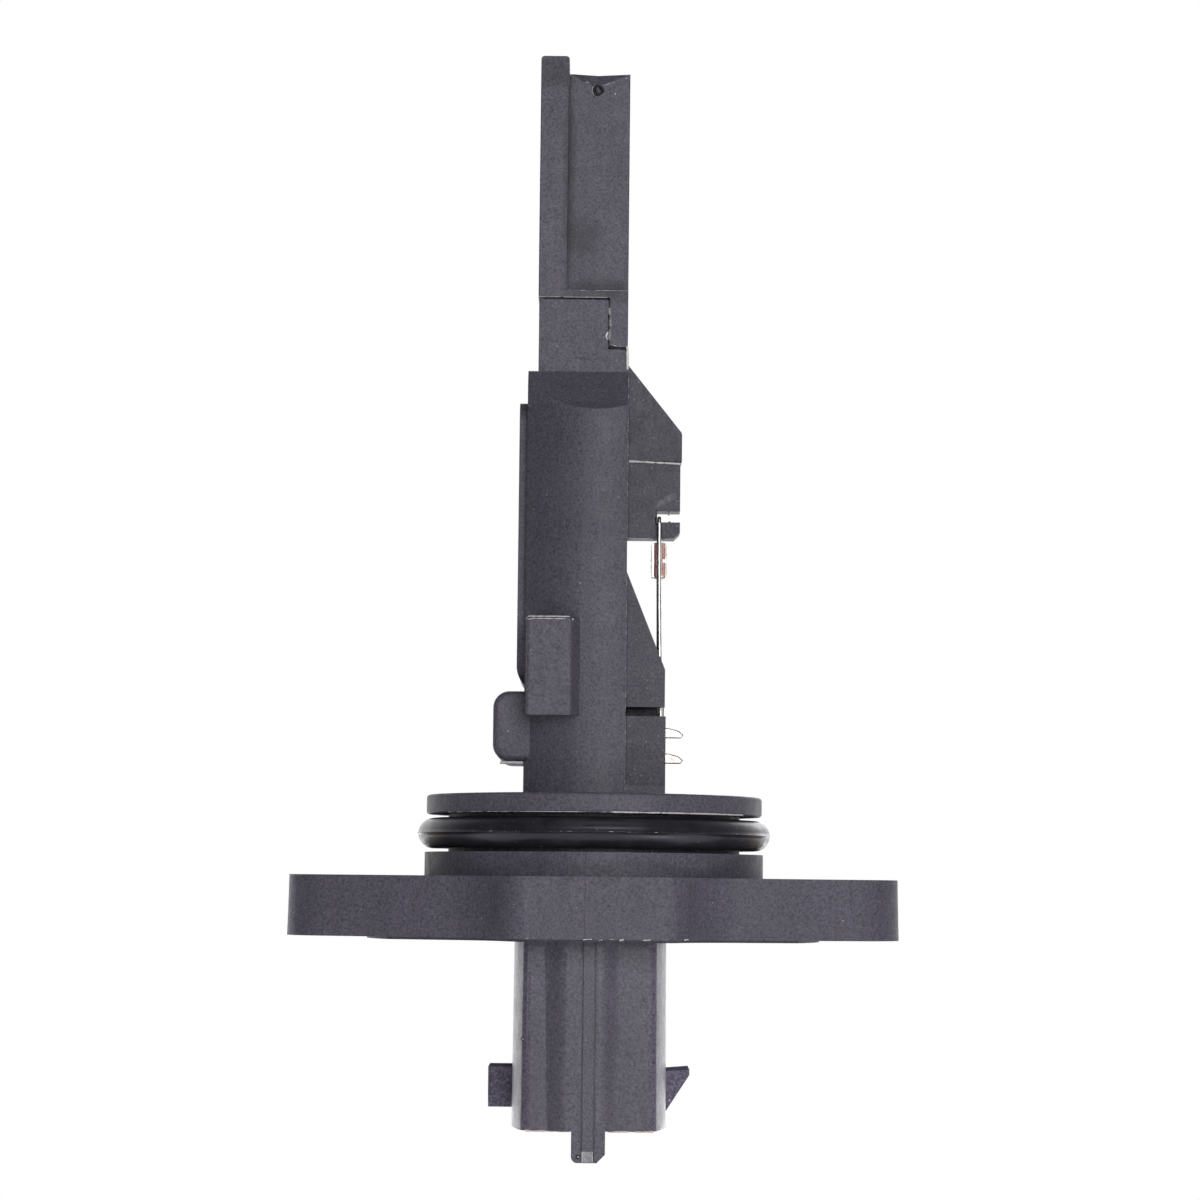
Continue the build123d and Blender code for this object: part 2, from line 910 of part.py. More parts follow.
def side_cover_seat():
    return sideways(side_cover_outline(0), side_cover_left, duct_right + overrun)


def duct_side_cover():
    plate = sideways(side_cover_outline(side_cover_gap), side_cover_left, duct_right - side_cover_gap)
    outlet = rectangle(outlet_near, outlet_far, outlet_low, outlet_high, window_radius)
    return plate - sideways(outlet, side_cover_left - overrun, duct_right + overrun)


def tip_sink():
    """Three-sided hollow below the top edge of the set-back face, down to the gate mark."""
    mouth_plan = polygon((strip_right, recess_face), (duct_right, recess_face), (gate_x, recess_face + sink_depth))
    point = Vertex(gate_x, recess_face, duct_top - sink_drop)
    return loft([Pos(0, 0, duct_top) * mouth_plan, point])


def gate_mark():
    ring = Pos(gate_x, duct_top - gate_drop) * Circle(gate_diameter / 2)
    return across(ring, recess_face - overrun, recess_face + gate_depth)


def joint_adhesive():
    """Cured adhesive in the upright gap of the lap joint, with a slight bulge outside."""
    gap = rectangle(lap_face, lap_face + joint_gap, neck_near, plateau_near)
    bulge = Pos(lap_face + joint_gap / 2, neck_near) * Circle(joint_gap)
    bulge &= rectangle(lap_face - overrun, lap_face + overrun, neck_near - overrun, neck_near)
    return upright(gap + bulge, lap_floor + skirt_gap, neck_top)


def electronics_cover():
    """Flat cover with a locating rim, rounded off at its lower end."""
    half = bay_width / 2 + cover_overlap
    low = bay_low - cover_low_overlap
    high = bay_high + cover_overlap
    outer = blade_left - cover_thickness
    plate = sideways(rectangle(-half, half, low, high, cover_corner), outer, blade_left)
    end = TangentArc((outer, low + cover_end_height), (outer + cover_end_depth, low), tangent=(0, -1))
    corner = make_face(end + Polyline(end @ 1, (outer, low), end @ 0))
    plate -= across(corner, -half - overrun, half + overrun)
    rim = bay_outline(rim_gap, bay_low + rim_gap, bay_high - rim_gap)
    rim -= bay_outline(rim_gap + rim_width, bay_low + rim_gap + rim_width, bay_high - rim_gap - rim_width)
    return plate + sideways(rim, blade_left, blade_left + rim_depth)


def seat_outline(margin):
    half = bay_width / 2 - margin
    return rectangle(-half, half, bay_low + shelf_height + margin, bay_high - prong_shelf_height - margin)


def base_plate():
    return sideways(seat_outline(plate_gap), plate_face, plate_floor)


def circuit_board():
    return sideways(seat_outline(plate_gap + board_margin), board_face, plate_face)


def board_piece(y, z, length, width, height):
    outline = rectangle(y - length / 2, y + length / 2, z - width / 2, z + width / 2)
    return sideways(outline, board_face - height, board_face)


def control_chip():
    return board_piece(0, chip_centre, chip_size, chip_size, chip_height)


def drive_transistor():
    return board_piece(transistor_y, transistor_z, transistor_length, transistor_width, transistor_height)


def chip_capacitors():
    pieces = []
    for index in range(capacitor_count):
        z = capacitor_first + index * capacitor_pitch
        pieces.append(board_piece(capacitor_y, z, capacitor_width, capacitor_length, capacitor_height))
    return Compound(children=pieces)


def bond_ribbon(y, from_z, from_face, to_z, to_face):
    """Arched ribbon between a pad and the board, with a foot on each."""
    crest_x = min(from_face, to_face) - ribbon_loop
    crest_z = (from_z + to_z) / 2
    outer = ThreePointArc((from_face, from_z), (crest_x, crest_z), (to_face, to_z))
    inner = ThreePointArc(
        (from_face, from_z + ribbon_thickness),
        (crest_x + ribbon_thickness, crest_z),
        (to_face, to_z - ribbon_thickness),
    )
    feet = Line(outer @ 0, inner @ 0) + Line(outer @ 1, inner @ 1)
    return across(make_face(outer + inner + feet), y - ribbon_width / 2, y + ribbon_width / 2)


def board_low():
    return bay_low + shelf_height + plate_gap + board_margin


def board_high():
    return bay_high - prong_shelf_height - plate_gap - board_margin


def terminal_bond_ribbons():
    pad_z = bay_low + shelf_height - pad_end_gap - ribbon_landing
    ribbons = []
    for index in range(terminal_count):
        y = first_pad + index * pad_pitch
        ribbons.append(bond_ribbon(y, pad_z, shelf_face, board_low() + ribbon_landing, board_face))
    for near in (front_lead_y + lead_diameter / 2, bead_y + lead_diameter / 2):
        y = near + post_thickness / 2
        ribbons.append(bond_ribbon(y, pad_z, shelf_face, board_low() + ribbon_landing, board_face))
    return Compound(children=ribbons)


def prong_places():
    """Depth of each sensing prong, and whether it is the one that jogs outwards."""
    places = []
    for y in (heater_y, reference_y):
        places.append((y, False))
        places.append((y + prong_pair_step, True))
    return places


def sensing_prong(y, jogs):
    """Square prong that runs from its pad in the bay through the neck into the passage."""
    face = shelf_face
    back = face - prong_size
    low = bay_high - prong_shelf_height + pad_end_gap
    if not jogs:
        return across(rectangle(back, face, low, prong_tip), y - prong_size / 2, y + prong_size / 2)
    outline = polygon(
        (back, low),
        (face, low),
        (face, prong_jog_low),
        (face - prong_jog, prong_jog_high),
        (face - prong_jog, prong_tip),
        (back - prong_jog, prong_tip),
        (back - prong_jog, prong_jog_high),
        (back, prong_jog_low),
    )
    return across(outline, y - prong_size / 2, y + prong_size / 2)


def prong_bond_ribbons():
    pad_z = bay_high - prong_shelf_height + pad_end_gap + ribbon_landing
    ribbons = []
    for y, jogs in prong_places():
        ribbons.append(bond_ribbon(y, board_high() - ribbon_landing, board_face, pad_z, shelf_face - prong_size))
    return Compound(children=ribbons)


def sensing_element(y):
    """Glazed bobbin on its lead, which lies against the near faces of its two prongs."""
    middle_x = shelf_face - prong_size / 2
    height = prong_tip - element_drop
    slant = prong_pair_step / prong_jog
    stand_off = prong_size / 2 * (1 + slant) + element_lead / 2 * math.hypot(1, slant)
    right = Vector(middle_x, y - stand_off, height)
    left = Vector(middle_x - prong_jog, y + prong_pair_step - stand_off, height)
    direction = (left - right).normalized()
    start = right - direction * prong_size
    length = (left - right).length + 2 * prong_size
    profile = polygon(
        (0, 0),
        (element_lead / 2, 0),
        (element_lead / 2, (length - element_length) / 2),
        (element_diameter / 2, (length - element_length) / 2 + element_lead),
        (element_diameter / 2, (length + element_length) / 2 - element_lead),
        (element_lead / 2, (length + element_length) / 2),
        (element_lead / 2, length),
        (0, length),
    )
    bobbin = revolve(Plane.XZ * profile, axis=Axis.Z)
    return Plane(origin=start, z_dir=direction) * bobbin


def build_nodes():
    """Make every separate piece, under the name of its node."""
    nodes = {}
    for index in range(terminal_count):
        nodes[f"connector_terminal_{index + 1}"] = connector_terminal(index)
    nodes["upper_lead_post"] = upper_lead_post()
    nodes["lower_lead_post"] = lower_lead_post()
    for index, (y, jogs) in enumerate(prong_places()):
        nodes[f"sensing_prong_{index + 1}"] = sensing_prong(y, jogs)
    housing = main_housing(list(nodes.values()))
    nodes["main_housing"] = housing
    nodes["seal_ring"] = seal_ring()
    for name, (x, y) in zip(("screw_sleeve_left", "screw_sleeve_right"), sleeve_places()):
        nodes[name] = screw_sleeve(x, y)
    nodes["bypass_duct"] = bypass_duct()
    nodes["duct_side_cover"] = duct_side_cover()
    nodes["joint_adhesive"] = joint_adhesive()
    nodes["electronics_cover"] = electronics_cover()
    nodes["base_plate"] = base_plate()
    nodes["circuit_board"] = circuit_board()
    nodes["control_chip"] = control_chip()
    nodes["drive_transistor"] = drive_transistor()
    nodes["chip_capacitors"] = chip_capacitors()
    nodes["terminal_bond_ribbons"] = terminal_bond_ribbons()
    nodes["prong_bond_ribbons"] = prong_bond_ribbons()
    nodes["heating_element"] = sensing_element(heater_y)
    nodes["reference_element"] = sensing_element(reference_y)
    nodes["thermistor_glass"] = thermistor_glass()
    nodes["thermistor_slug_upper"] = thermistor_slug(1)
    nodes["thermistor_slug_lower"] = thermistor_slug(-1)
    nodes["thermistor_chip"] = thermistor_chip()
    nodes["hooked_lead"] = hooked_lead()
    nodes["straight_lead"] = straight_lead()
    return nodes


os.makedirs("parts", exist_ok=True)
for name, shape in build_nodes().items():
    export_step(shape, f"parts/{name}.step")
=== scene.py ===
import logging
import math
from dataclasses import dataclass, field
from enum import Enum

import bmesh
import bpy
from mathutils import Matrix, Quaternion, Vector, noise


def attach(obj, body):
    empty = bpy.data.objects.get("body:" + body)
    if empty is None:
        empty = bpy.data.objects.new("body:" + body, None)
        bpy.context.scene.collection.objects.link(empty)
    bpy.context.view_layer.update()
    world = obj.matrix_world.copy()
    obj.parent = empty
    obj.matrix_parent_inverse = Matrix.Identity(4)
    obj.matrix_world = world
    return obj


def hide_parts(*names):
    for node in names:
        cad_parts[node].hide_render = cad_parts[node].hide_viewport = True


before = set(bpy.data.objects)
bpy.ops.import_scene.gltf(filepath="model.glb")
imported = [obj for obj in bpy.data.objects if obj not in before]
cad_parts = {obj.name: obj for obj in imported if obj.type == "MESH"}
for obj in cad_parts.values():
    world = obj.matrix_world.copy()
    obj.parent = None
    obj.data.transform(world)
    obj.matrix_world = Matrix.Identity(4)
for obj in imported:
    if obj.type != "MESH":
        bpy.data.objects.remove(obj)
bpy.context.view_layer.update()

MM = 0.001
Colour = tuple[float, float, float]
Point = tuple[float, float, float]
Pairs = tuple[tuple[float, float], ...]
Socket = bpy.types.NodeSocket
Material = bpy.types.Material
Mesh = bpy.types.Mesh
Piece = bpy.types.Object
log = logging.getLogger("sensor")


class Sum(Enum):
    """Arithmetic that one node does."""

    ADD = "ADD"
    SUBTRACT = "SUBTRACT"
    MULTIPLY = "MULTIPLY"
    DIVIDE = "DIVIDE"
    MULTIPLY_ADD = "MULTIPLY_ADD"
    MAXIMUM = "MAXIMUM"
    ABSOLUTE = "ABSOLUTE"
    GREATER_THAN = "GREATER_THAN"
    LESS_THAN = "LESS_THAN"


class Facing(Enum):
    """Axis that a flat path lies across."""

    UP = "Z"
    NEAR = "Y"
    SIDE = "X"


class Graph:
    """Node tree of one material, with short calls for the nodes that the finishes share."""

    def __init__(self, name: str) -> None:
        """Start an empty material.

        Args:
            name: Name of the material.
        """
        self.material = bpy.data.materials.new(name)
        self.material.use_nodes = True
        self.tree = self.material.node_tree
        self.tree.nodes.clear()
        self.output = self.tree.nodes.new("ShaderNodeOutputMaterial")
        coordinates = self.tree.nodes.new("ShaderNodeTexCoord")
        scale = self.tree.nodes.new("ShaderNodeMapping")
        scale.inputs["Scale"].default_value = (1 / MM, 1 / MM, 1 / MM)
        self.tree.links.new(coordinates.outputs["Object"], scale.inputs["Vector"])
        self.place = scale.outputs["Vector"]

    def node(self, kind: str) -> bpy.types.Node:
        """Add a node of a kind."""
        return self.tree.nodes.new(kind)

    def link(self, source: Socket, target: Socket) -> None:
        """Join two sockets."""
        self.tree.links.new(source, target)

    def feed(self, value: object, target: Socket) -> None:
        """Give a socket a value or a link.

        Args:
            value: A number, a colour or the socket of another node.
            target: Socket that takes it.
        """
        if isinstance(value, Socket):
            self.link(value, target)
        else:
            target.default_value = value

    def stretched(self, scale: Point) -> Socket:
        """Coordinates in millimetres, stretched along the axes.

        Args:
            scale: Factor along each axis.

        Returns:
            The socket with the new coordinates.
        """
        mapping = self.node("ShaderNodeMapping")
        mapping.inputs["Scale"].default_value = scale
        self.link(self.place, mapping.inputs["Vector"])
        return mapping.outputs["Vector"]

    def noise(self, scale: float, detail: float = 2.0, roughness: float = 0.5,
              vector: Socket | None = None) -> Socket:
        """Noise over the object.

        Args:
            scale: Repeats per millimetre of the coordinates.
            detail: Number of finer layers.
            roughness: Weight of the finer layers.
            vector: Coordinates, or None for plain millimetres.

        Returns:
            The socket with its value.
        """
        node = self.node("ShaderNodeTexNoise")
        node.inputs["Scale"].default_value = scale
        node.inputs["Detail"].default_value = detail
        node.inputs["Roughness"].default_value = roughness
        self.link(vector or self.place, node.inputs["Vector"])
        return node.outputs["Fac"]

    def math(self, operation: Sum, first: object, second: object = 0.0) -> Socket:
        """Arithmetic on two values.

        Args:
            operation: What the node does.
            first: Number or socket.
            second: Number or socket.

        Returns:
            The socket with the result.
        """
        node = self.node("ShaderNodeMath")
        node.operation = operation.value
        self.feed(first, node.inputs[0])
        self.feed(second, node.inputs[1])
        return node.outputs[0]

    def times(self, product: Socket, *factors: object) -> Socket:
        """Product of several values.

        Args:
            product: Socket of the first value.
            *factors: Numbers or sockets that it is multiplied by.

        Returns:
            The socket with the product.
        """
        for factor in factors:
            product = self.math(Sum.MULTIPLY, product, factor)
        return product

    def span(self, value: Socket, low: float, high: float, to_low: float = 0.0,
             to_high: float = 1.0) -> Socket:
        """Map a range of a value to another range, with both ends held.

        Args:
            value: Socket to map.
            low: Start of the range.
            high: End of the range.
            to_low: Result at the start.
            to_high: Result at the end.

        Returns:
            The socket with the mapped value.
        """
        node = self.node("ShaderNodeMapRange")
        self.feed(value, node.inputs["Value"])
        node.inputs["From Min"].default_value = low
        node.inputs["From Max"].default_value = high
        node.inputs["To Min"].default_value = to_low
        node.inputs["To Max"].default_value = to_high
        return node.outputs["Result"]

    def around(self, value: Socket, low: float, high: float, swing: float) -> Socket:
        """Factor round 1, with a full swing over a range of the value."""
        return self.span(value, low, high, 1 - swing / 2, 1 + swing / 2)

    def toned(self, mask: Socket, tone: float) -> Socket:
        """Factor that is 1 outside a mask and the tone inside it."""
        return self.span(mask, 0.0, 1.0, 1.0, tone)

    def mix(self, amount: Socket, first: object, second: object) -> Socket:
        """Lay one colour over another.

        Args:
            amount: Share of the second colour.
            first: Colour below, as numbers or a socket.
            second: Colour above, as numbers or a socket.

        Returns:
            The socket with the colour.
        """
        node = self.node("ShaderNodeMix")
        node.data_type = "RGBA"
        node.clamp_result = False
        self.feed(amount, node.inputs["Factor"])
        for value, name in ((first, "A"), (second, "B")):
            sockets = [s for s in node.inputs if s.name == name and s.type == "RGBA"]
            self.feed((*value, 1.0) if isinstance(value, tuple) else value, sockets[0])
        return [s for s in node.outputs if s.type == "RGBA"][0]

    def shade(self, colour: Colour, value: Socket) -> Socket:
        """Make a colour lighter or darker by a factor.

        Args:
            colour: The colour itself.
            value: Socket with the factor.

        Returns:
            The socket with the shaded colour.
        """
        node = self.node("ShaderNodeVectorMath")
        node.operation = "SCALE"
        node.inputs[0].default_value = colour
        self.link(value, node.inputs["Scale"])
        return node.outputs["Vector"]

    def axis(self, name: str) -> Socket:
        """Place along one axis, in millimetres.

        Args:
            name: X, Y or Z.

        Returns:
            The socket with the place.
        """
        node = self.node("ShaderNodeSeparateXYZ")
        self.link(self.place, node.inputs[0])
        return node.outputs[name]

    def spread(self, x: float, z: float, wide: float, high: float, lean: float = 0.0) -> Socket:
        """Squared distance from a place, seen from the near side.

        Args:
            x: Place across, in millimetres.
            z: Height, in millimetres.
            wide: Distance across that counts as 1.
            high: Distance in height that counts as 1.
            lean: Rise of the patch's long axis per millimetre across.

        Returns:
            The socket with the squared distance.
        """
        off = self.math(Sum.SUBTRACT, self.axis("X"), x)
        across = self.math(Sum.DIVIDE, off, wide)
        rise = self.math(Sum.SUBTRACT, self.math(Sum.SUBTRACT, self.axis("Z"), z), self.times(off, lean))
        rise = self.math(Sum.DIVIDE, rise, high)
        return self.math(Sum.ADD, self.times(across, across), self.times(rise, rise))

    def bump(self, height: Socket, depth: float, below: Socket | None = None) -> Socket:
        """Relief from a height.

        Args:
            height: Socket with the height between 0 and 1.
            depth: Depth of the relief in millimetres.
            below: Relief that this one lies on.

        Returns:
            The socket with the normal.
        """
        node = self.node("ShaderNodeBump")
        node.inputs["Distance"].default_value = depth * MM
        node.inputs["Strength"].default_value = 1.0
        self.link(height, node.inputs["Height"])
        if below is not None:
            self.link(below, node.inputs["Normal"])
        return node.outputs["Normal"]

    def specks(self, pitch: float, radius: float, share: float) -> Socket:
        """Small round specks scattered in the volume of the object.

        Args:
            pitch: Mean distance between places, in millimetres.
            radius: Radius of a speck, in millimetres.
            share: Share of the places that hold a speck.

        Returns:
            A socket that is 1 in a speck and 0 elsewhere.
        """
        node = self.node("ShaderNodeTexVoronoi")
        node.inputs["Scale"].default_value = 1 / pitch
        self.link(self.place, node.inputs["Vector"])
        inside = self.span(node.outputs["Distance"], radius / pitch, 0.6 * radius / pitch)
        pick = self.node("ShaderNodeSeparateColor")
        self.link(node.outputs["Color"], pick.inputs[0])
        return self.times(inside, self.math(Sum.LESS_THAN, pick.outputs[0], share))

    def surface(self, **inputs: object) -> bpy.types.Node:
        """Add the main shader and join it to the output.

        Args:
            **inputs: Values or sockets by input name, with spaces as underscores.

        Returns:
            The shader node.
        """
        shader = self.node("ShaderNodeBsdfPrincipled")
        for name, value in inputs.items():
            target = shader.inputs[name.replace("_", " ")]
            if isinstance(value, tuple) and target.type == "RGBA":
                value = (*value, 1.0)
            self.feed(value, target)
        self.link(shader.outputs["BSDF"], self.output.inputs["Surface"])
        return shader


@dataclass(frozen=True)
class DarkPatch:
    """Darker patch, for stains and painted shade: its middle, reach across and in height, and share of
    light kept.
    """

    x: float
    z: float
    wide: float
    high: float
    tone: float


# Darker patches on the duct: one stain, painted shade in the recess and along its groove, and a darker top
# to the strip.
DUCT_STAINS_AND_SHADE = (
    # a darker stain on the recess face
    DarkPatch(-1.8, 63.5, 2.0, 2.2, 0.55),
    # painted shade low in the recess, above the ledge
    DarkPatch(0.2, 57.9, 4.4, 1.8, 0.58),
    # painted shade along the groove at the strip's right edge
    DarkPatch(-3.1, 68.5, 0.75, 12.5, 0.50),
    # darker towards the top of the strip
    DarkPatch(-4.6, 79.8, 3.4, 1.8, 0.70),
)


@dataclass(frozen=True)
class MouldedPlastic:
    """Glass-filled charcoal moulding: fine grain, faint flow streaks, pale specks, a darker band along the
    blade and darker patches, some of them painted shade.
    """

    name: str
    colour: Colour = (0.087, 0.080, 0.109)
    roughness: float = 0.55
    grain: float = 1.35
    mottle: float = 0.16
    streak: float = 0.12
    relief: float = 0.020
    darker_band_tone: float = 0.84
    darker_band_span: tuple[float, float] = (26.0, 34.0)
    darker_band_end: float = 46.0
    dark_patches: tuple[DarkPatch, ...] = ()
    speck_colour: Colour = (0.42, 0.41, 0.42)
    speck_share: float = 0.45

    def shade(self, graph: Graph) -> Socket:
        """Factor that darkens a band of heights along the blade, and the darker patches, some of them
        painted shade.

        Args:
            graph: Nodes of the material.

        Returns:
            The socket with the factor.
        """
        height = graph.axis("Z")
        # Darker band along the blade: darker from the band's lower heights up to its end.
        darker_band = graph.times(graph.span(height, *self.darker_band_span),
                           graph.span(height, self.darker_band_end, self.darker_band_end + 0.3, 1.0, 0.0))
        shade = graph.toned(darker_band, self.darker_band_tone)
        for dark_patch in self.dark_patches:
            reach = graph.spread(dark_patch.x, dark_patch.z, dark_patch.wide, dark_patch.high)
            shade = graph.times(shade, graph.span(reach, 0.0, 1.0, dark_patch.tone, 1.0))
        return shade

    def strewn(self, graph: Graph, share: object) -> Socket:
        """Pale specks, coarse ones and small ones that show by a share."""
        small = graph.times(graph.specks(0.62, 0.05, 0.22), share)
        return graph.math(Sum.MAXIMUM, graph.specks(1.7, 0.085, 0.28), small)

    def specks(self, graph: Graph) -> Socket:
        """Pale specks, the same all over."""
        return self.strewn(graph, self.speck_share)

    def join(self, graph: Graph, colour: Socket, rough: Socket, normal: Socket) -> None:
        """Join colour, roughness and relief in the shader."""
        graph.surface(Base_Color=colour, Roughness=rough, Normal=normal, IOR=1.5)

    def build(self) -> Material:
        """Make the material.

        Returns:
            The material.
        """
        graph = Graph(self.name)
        fine = graph.noise(4.2, 3.0, 0.65)
        broad = graph.noise(0.16, 3.0)
        flow = graph.noise(1.0, 3.0, 0.55, graph.stretched((1.5, 1.5, 0.09)))
        shade = self.shade(graph)
        tone = graph.times(graph.around(fine, 0.25, 0.75, self.grain),
                           graph.around(broad, 0.3, 0.7, self.mottle),
                           graph.around(flow, 0.3, 0.7, self.streak), shade)
        specks = graph.times(self.specks(graph), shade)
        colour = graph.mix(specks, graph.shade(self.colour, tone), self.speck_colour)
        rough = graph.span(graph.noise(0.9, 4.0), 0.3, 0.7, self.roughness - 0.05, self.roughness + 0.06)
        self.join(graph, colour, rough, graph.bump(fine, self.relief))
        return graph.material


@dataclass(frozen=True)
class HousingPlastic(MouldedPlastic):
    """Plastic of the main moulding: eroded right side, painted shade in the slit, haze, a shell with its
    own gloss, and painted light on the shell's corners, guide, catch and the flange's left end.
    """

    eroded_from: float = 3.05
    eroded_low: float = 9.0
    eroded_relief: float = 0.05
    eroded_tone: float = 0.77
    spark_share: float = 0.52
    haze_place: tuple[float, float] = (6.6, 37.1)
    haze_reach: tuple[float, float] = (1.5, 0.50)
    haze_lean: float = 0.55
    haze_share: float = 0.26
    shell_top: float = -6.2
    shell_specks: float = 0.85
    shell_gloss: float = 0.18
    shell_middle: float = -0.24
    corner_span: tuple[float, float] = (5.3, 6.5)
    # Painted light: the shell's rounded corners, its sides and all beyond them are lightened by this
    # factor.
    corner_light_tone: float = 1.8
    side_span: tuple[float, float] = (6.5, 14.0)
    side_gloss: float = 0.12
    plain_gloss: float = 0.5
    catch_from: float = 7.52
    # Painted light: the guide and the catch are lightened further, to this factor in all.
    catch_light_tone: float = 1.95
    flange_end: tuple[float, float] = (-28.8, -29.8)
    # Painted reflection: the flange's left end is lightened by this factor.
    end_reflection_tone: float = 2.8
    slit: tuple[float, float] = (16.62, 17.58)
    slit_depth: float = -7.1
    # Painted shade: the inside of the slit keeps this share of its colour.
    slit_shade_tone: float = 0.12

    def right_side(self, graph: Graph) -> Socket:
        """Mask of all that stands right of the blade."""
        return graph.span(graph.axis("X"), self.eroded_from, self.eroded_from + 0.05)

    def eroded_side(self, graph: Graph) -> Socket:
        """Mask of the eroded faces right of the blade, above the disk."""
        above = graph.span(graph.axis("Z"), self.eroded_low, self.eroded_low + 0.2)
        return graph.times(self.right_side(graph), above)

    def shell(self, graph: Graph, inside: float = 1.0, outside: float = 0.0) -> Socket:
        """One value on the connector shell and another above it."""
        return graph.span(graph.axis("Z"), self.shell_top - 0.1, self.shell_top, inside, outside)

    def shell_reach(self, graph: Graph) -> Socket:
        """Distance across from the middle of the shell."""
        return graph.math(Sum.ABSOLUTE, graph.math(Sum.SUBTRACT, graph.axis("X"), self.shell_middle))

    def corners(self, graph: Graph) -> Socket:
        """Mask of the shell's corners and of all beyond them."""
        return graph.times(self.shell(graph), graph.span(self.shell_reach(graph), *self.corner_span))

    def catch(self, graph: Graph) -> Socket:
        """Mask of the guide and the catch beside the shell."""
        beyond = graph.math(Sum.GREATER_THAN, self.shell_reach(graph), self.catch_from)
        return graph.times(self.shell(graph), beyond)

    def slit_inside(self, graph: Graph) -> Socket:
        """Mask of the deep slit in the guard, whose inside gets painted shade.

        Args:
            graph: Nodes of the material.

        Returns:
            The socket with the mask.
        """
        low, high = self.slit
        return graph.times(graph.math(Sum.GREATER_THAN, graph.axis("Z"), low),
                           graph.math(Sum.LESS_THAN, graph.axis("Z"), high),
                           graph.math(Sum.GREATER_THAN, graph.axis("Y"), self.slit_depth),
                           self.right_side(graph))

    def shade(self, graph: Graph) -> Socket:
        """Factor that darkens or lightens each place of the housing: a darker band, painted shade in the
        slit, the darker eroded side, and painted light on the shell's corners, guide, catch and the
        flange's left end.

        Args:
            graph: Nodes of the material.

        Returns:
            The socket with the factor.
        """
        # Painted shade in the slit, the eroded side's own darker tone, and painted light on the shell's
        # corners, guide and catch.
        masks = (
            (self.slit_inside(graph), self.slit_shade_tone),
            (self.eroded_side(graph), self.eroded_tone),
            (self.corners(graph), self.corner_light_tone),
            (self.catch(graph), self.catch_light_tone / self.corner_light_tone),
        )
        shade = super().shade(graph)
        for mask, tone in masks:
            shade = graph.times(shade, graph.toned(mask, tone))
        # Painted reflection: the flange's left end is lightened.
        return graph.times(shade, graph.span(graph.axis("X"), *self.flange_end, 1.0, self.end_reflection_tone))

    def specks(self, graph: Graph) -> Socket:
        """Pale specks, clearer on the shell, with sparks on the eroded side.

        Args:
            graph: Nodes of the material.

        Returns:
            The socket with the specks.
        """
        strewn = self.strewn(graph, self.shell(graph, self.shell_specks, self.speck_share))
        sparks = graph.times(graph.specks(0.55, 0.095, 0.42), self.eroded_side(graph), self.spark_share)
        return graph.math(Sum.MAXIMUM, strewn, sparks)

    def join(self, graph: Graph, colour: Socket, rough: Socket, normal: Socket) -> None:
        """Add haze, erosion and the shell's gloss, and join all in the shader.

        The specular level varies over the shell, which shows only in renders. It shows in renders,
        and the export leaves it out.

        Args:
            graph: Nodes of the material.
            colour: Socket with the colour.
            rough: Socket with the roughness.
            normal: Socket with the relief.
        """
        side = self.eroded_side(graph)
        pits = graph.noise(2.2, 2.0, 0.6)
        reach = graph.spread(*self.haze_place, *self.haze_reach, self.haze_lean)
        haze = graph.span(reach, 0.1, 0.9, self.haze_share, 0.0)
        haze = graph.times(haze, graph.span(pits, 0.35, 0.6), side)
        depth = graph.math(Sum.ABSOLUTE, graph.axis("Y"))
        flank = graph.times(self.corners(graph), graph.span(depth, *self.side_span))
        gloss = graph.span(flank, 0.0, 1.0, self.plain_gloss, self.plain_gloss * self.side_gloss)
        graph.surface(
            Base_Color=graph.mix(haze, colour, self.speck_colour),
            Roughness=graph.math(Sum.SUBTRACT, rough, graph.times(self.shell(graph), self.shell_gloss)),
            Normal=graph.bump(graph.times(pits, side), self.eroded_relief, below=normal),
            IOR=1.5,
            Specular_IOR_Level=graph.times(gloss, graph.math(Sum.SUBTRACT, 1.0, self.catch(graph))),
        )


@dataclass(frozen=True)
class SealRubber:
    """Smooth black rubber with a soft gloss, faint bloom and lint."""

    name: str = "seal_rubber"
    colour: Colour = (0.0185, 0.0180, 0.0235)
    sheen_tint: Colour = (0.84, 0.82, 1.0)
    roughness: float = 0.34

    def build(self) -> Material:
        """Make the material.

        Returns:
            The material.
        """
        graph = Graph(self.name)
        bloom = graph.noise(0.5, 5.0, 0.6)
        tone = graph.span(bloom, 0.3, 0.75, 0.8, 1.5)
        lint = graph.specks(1.3, 0.05, 0.30)
        colour = graph.mix(lint, graph.shade(self.colour, tone), (0.35, 0.35, 0.36))
        rough = graph.span(bloom, 0.35, 0.7, self.roughness - 0.04, self.roughness + 0.10)
        normal = graph.bump(graph.noise(2.5, 3.0), 0.006)
        graph.surface(Base_Color=colour, Roughness=rough, Normal=normal, IOR=1.5,
                      Specular_Tint=self.sheen_tint)
        return graph.material


@dataclass(frozen=True)
class TinnedMetal:
    """Tin-plated metal with drawing marks along one axis and tarnished, rougher patches."""

    name: str
    colour: Colour = (0.72, 0.70, 0.66)
    roughness: float = 0.24
    along: Point = (6.0, 6.0, 0.5)
    tarnish: Colour = (0.40, 0.36, 0.30)

    def build(self) -> Material:
        """Make the material.

        Returns:
            The material.
        """
        graph = Graph(self.name)
        marks = graph.noise(1.0, 3.0, 0.6, graph.stretched(self.along))
        patch = graph.span(graph.noise(0.8, 4.0), 0.52, 0.75, 0.0, 0.5)
        colour = graph.mix(patch, self.colour, self.tarnish)
        rough = graph.span(marks, 0.3, 0.7, self.roughness - 0.08, self.roughness + 0.10)
        rough = graph.math(Sum.ADD, rough, graph.times(patch, 0.3))
        normal = graph.bump(marks, 0.004)
        graph.surface(Base_Color=colour, Metallic=1.0, Roughness=rough, Normal=normal)
        return graph.material


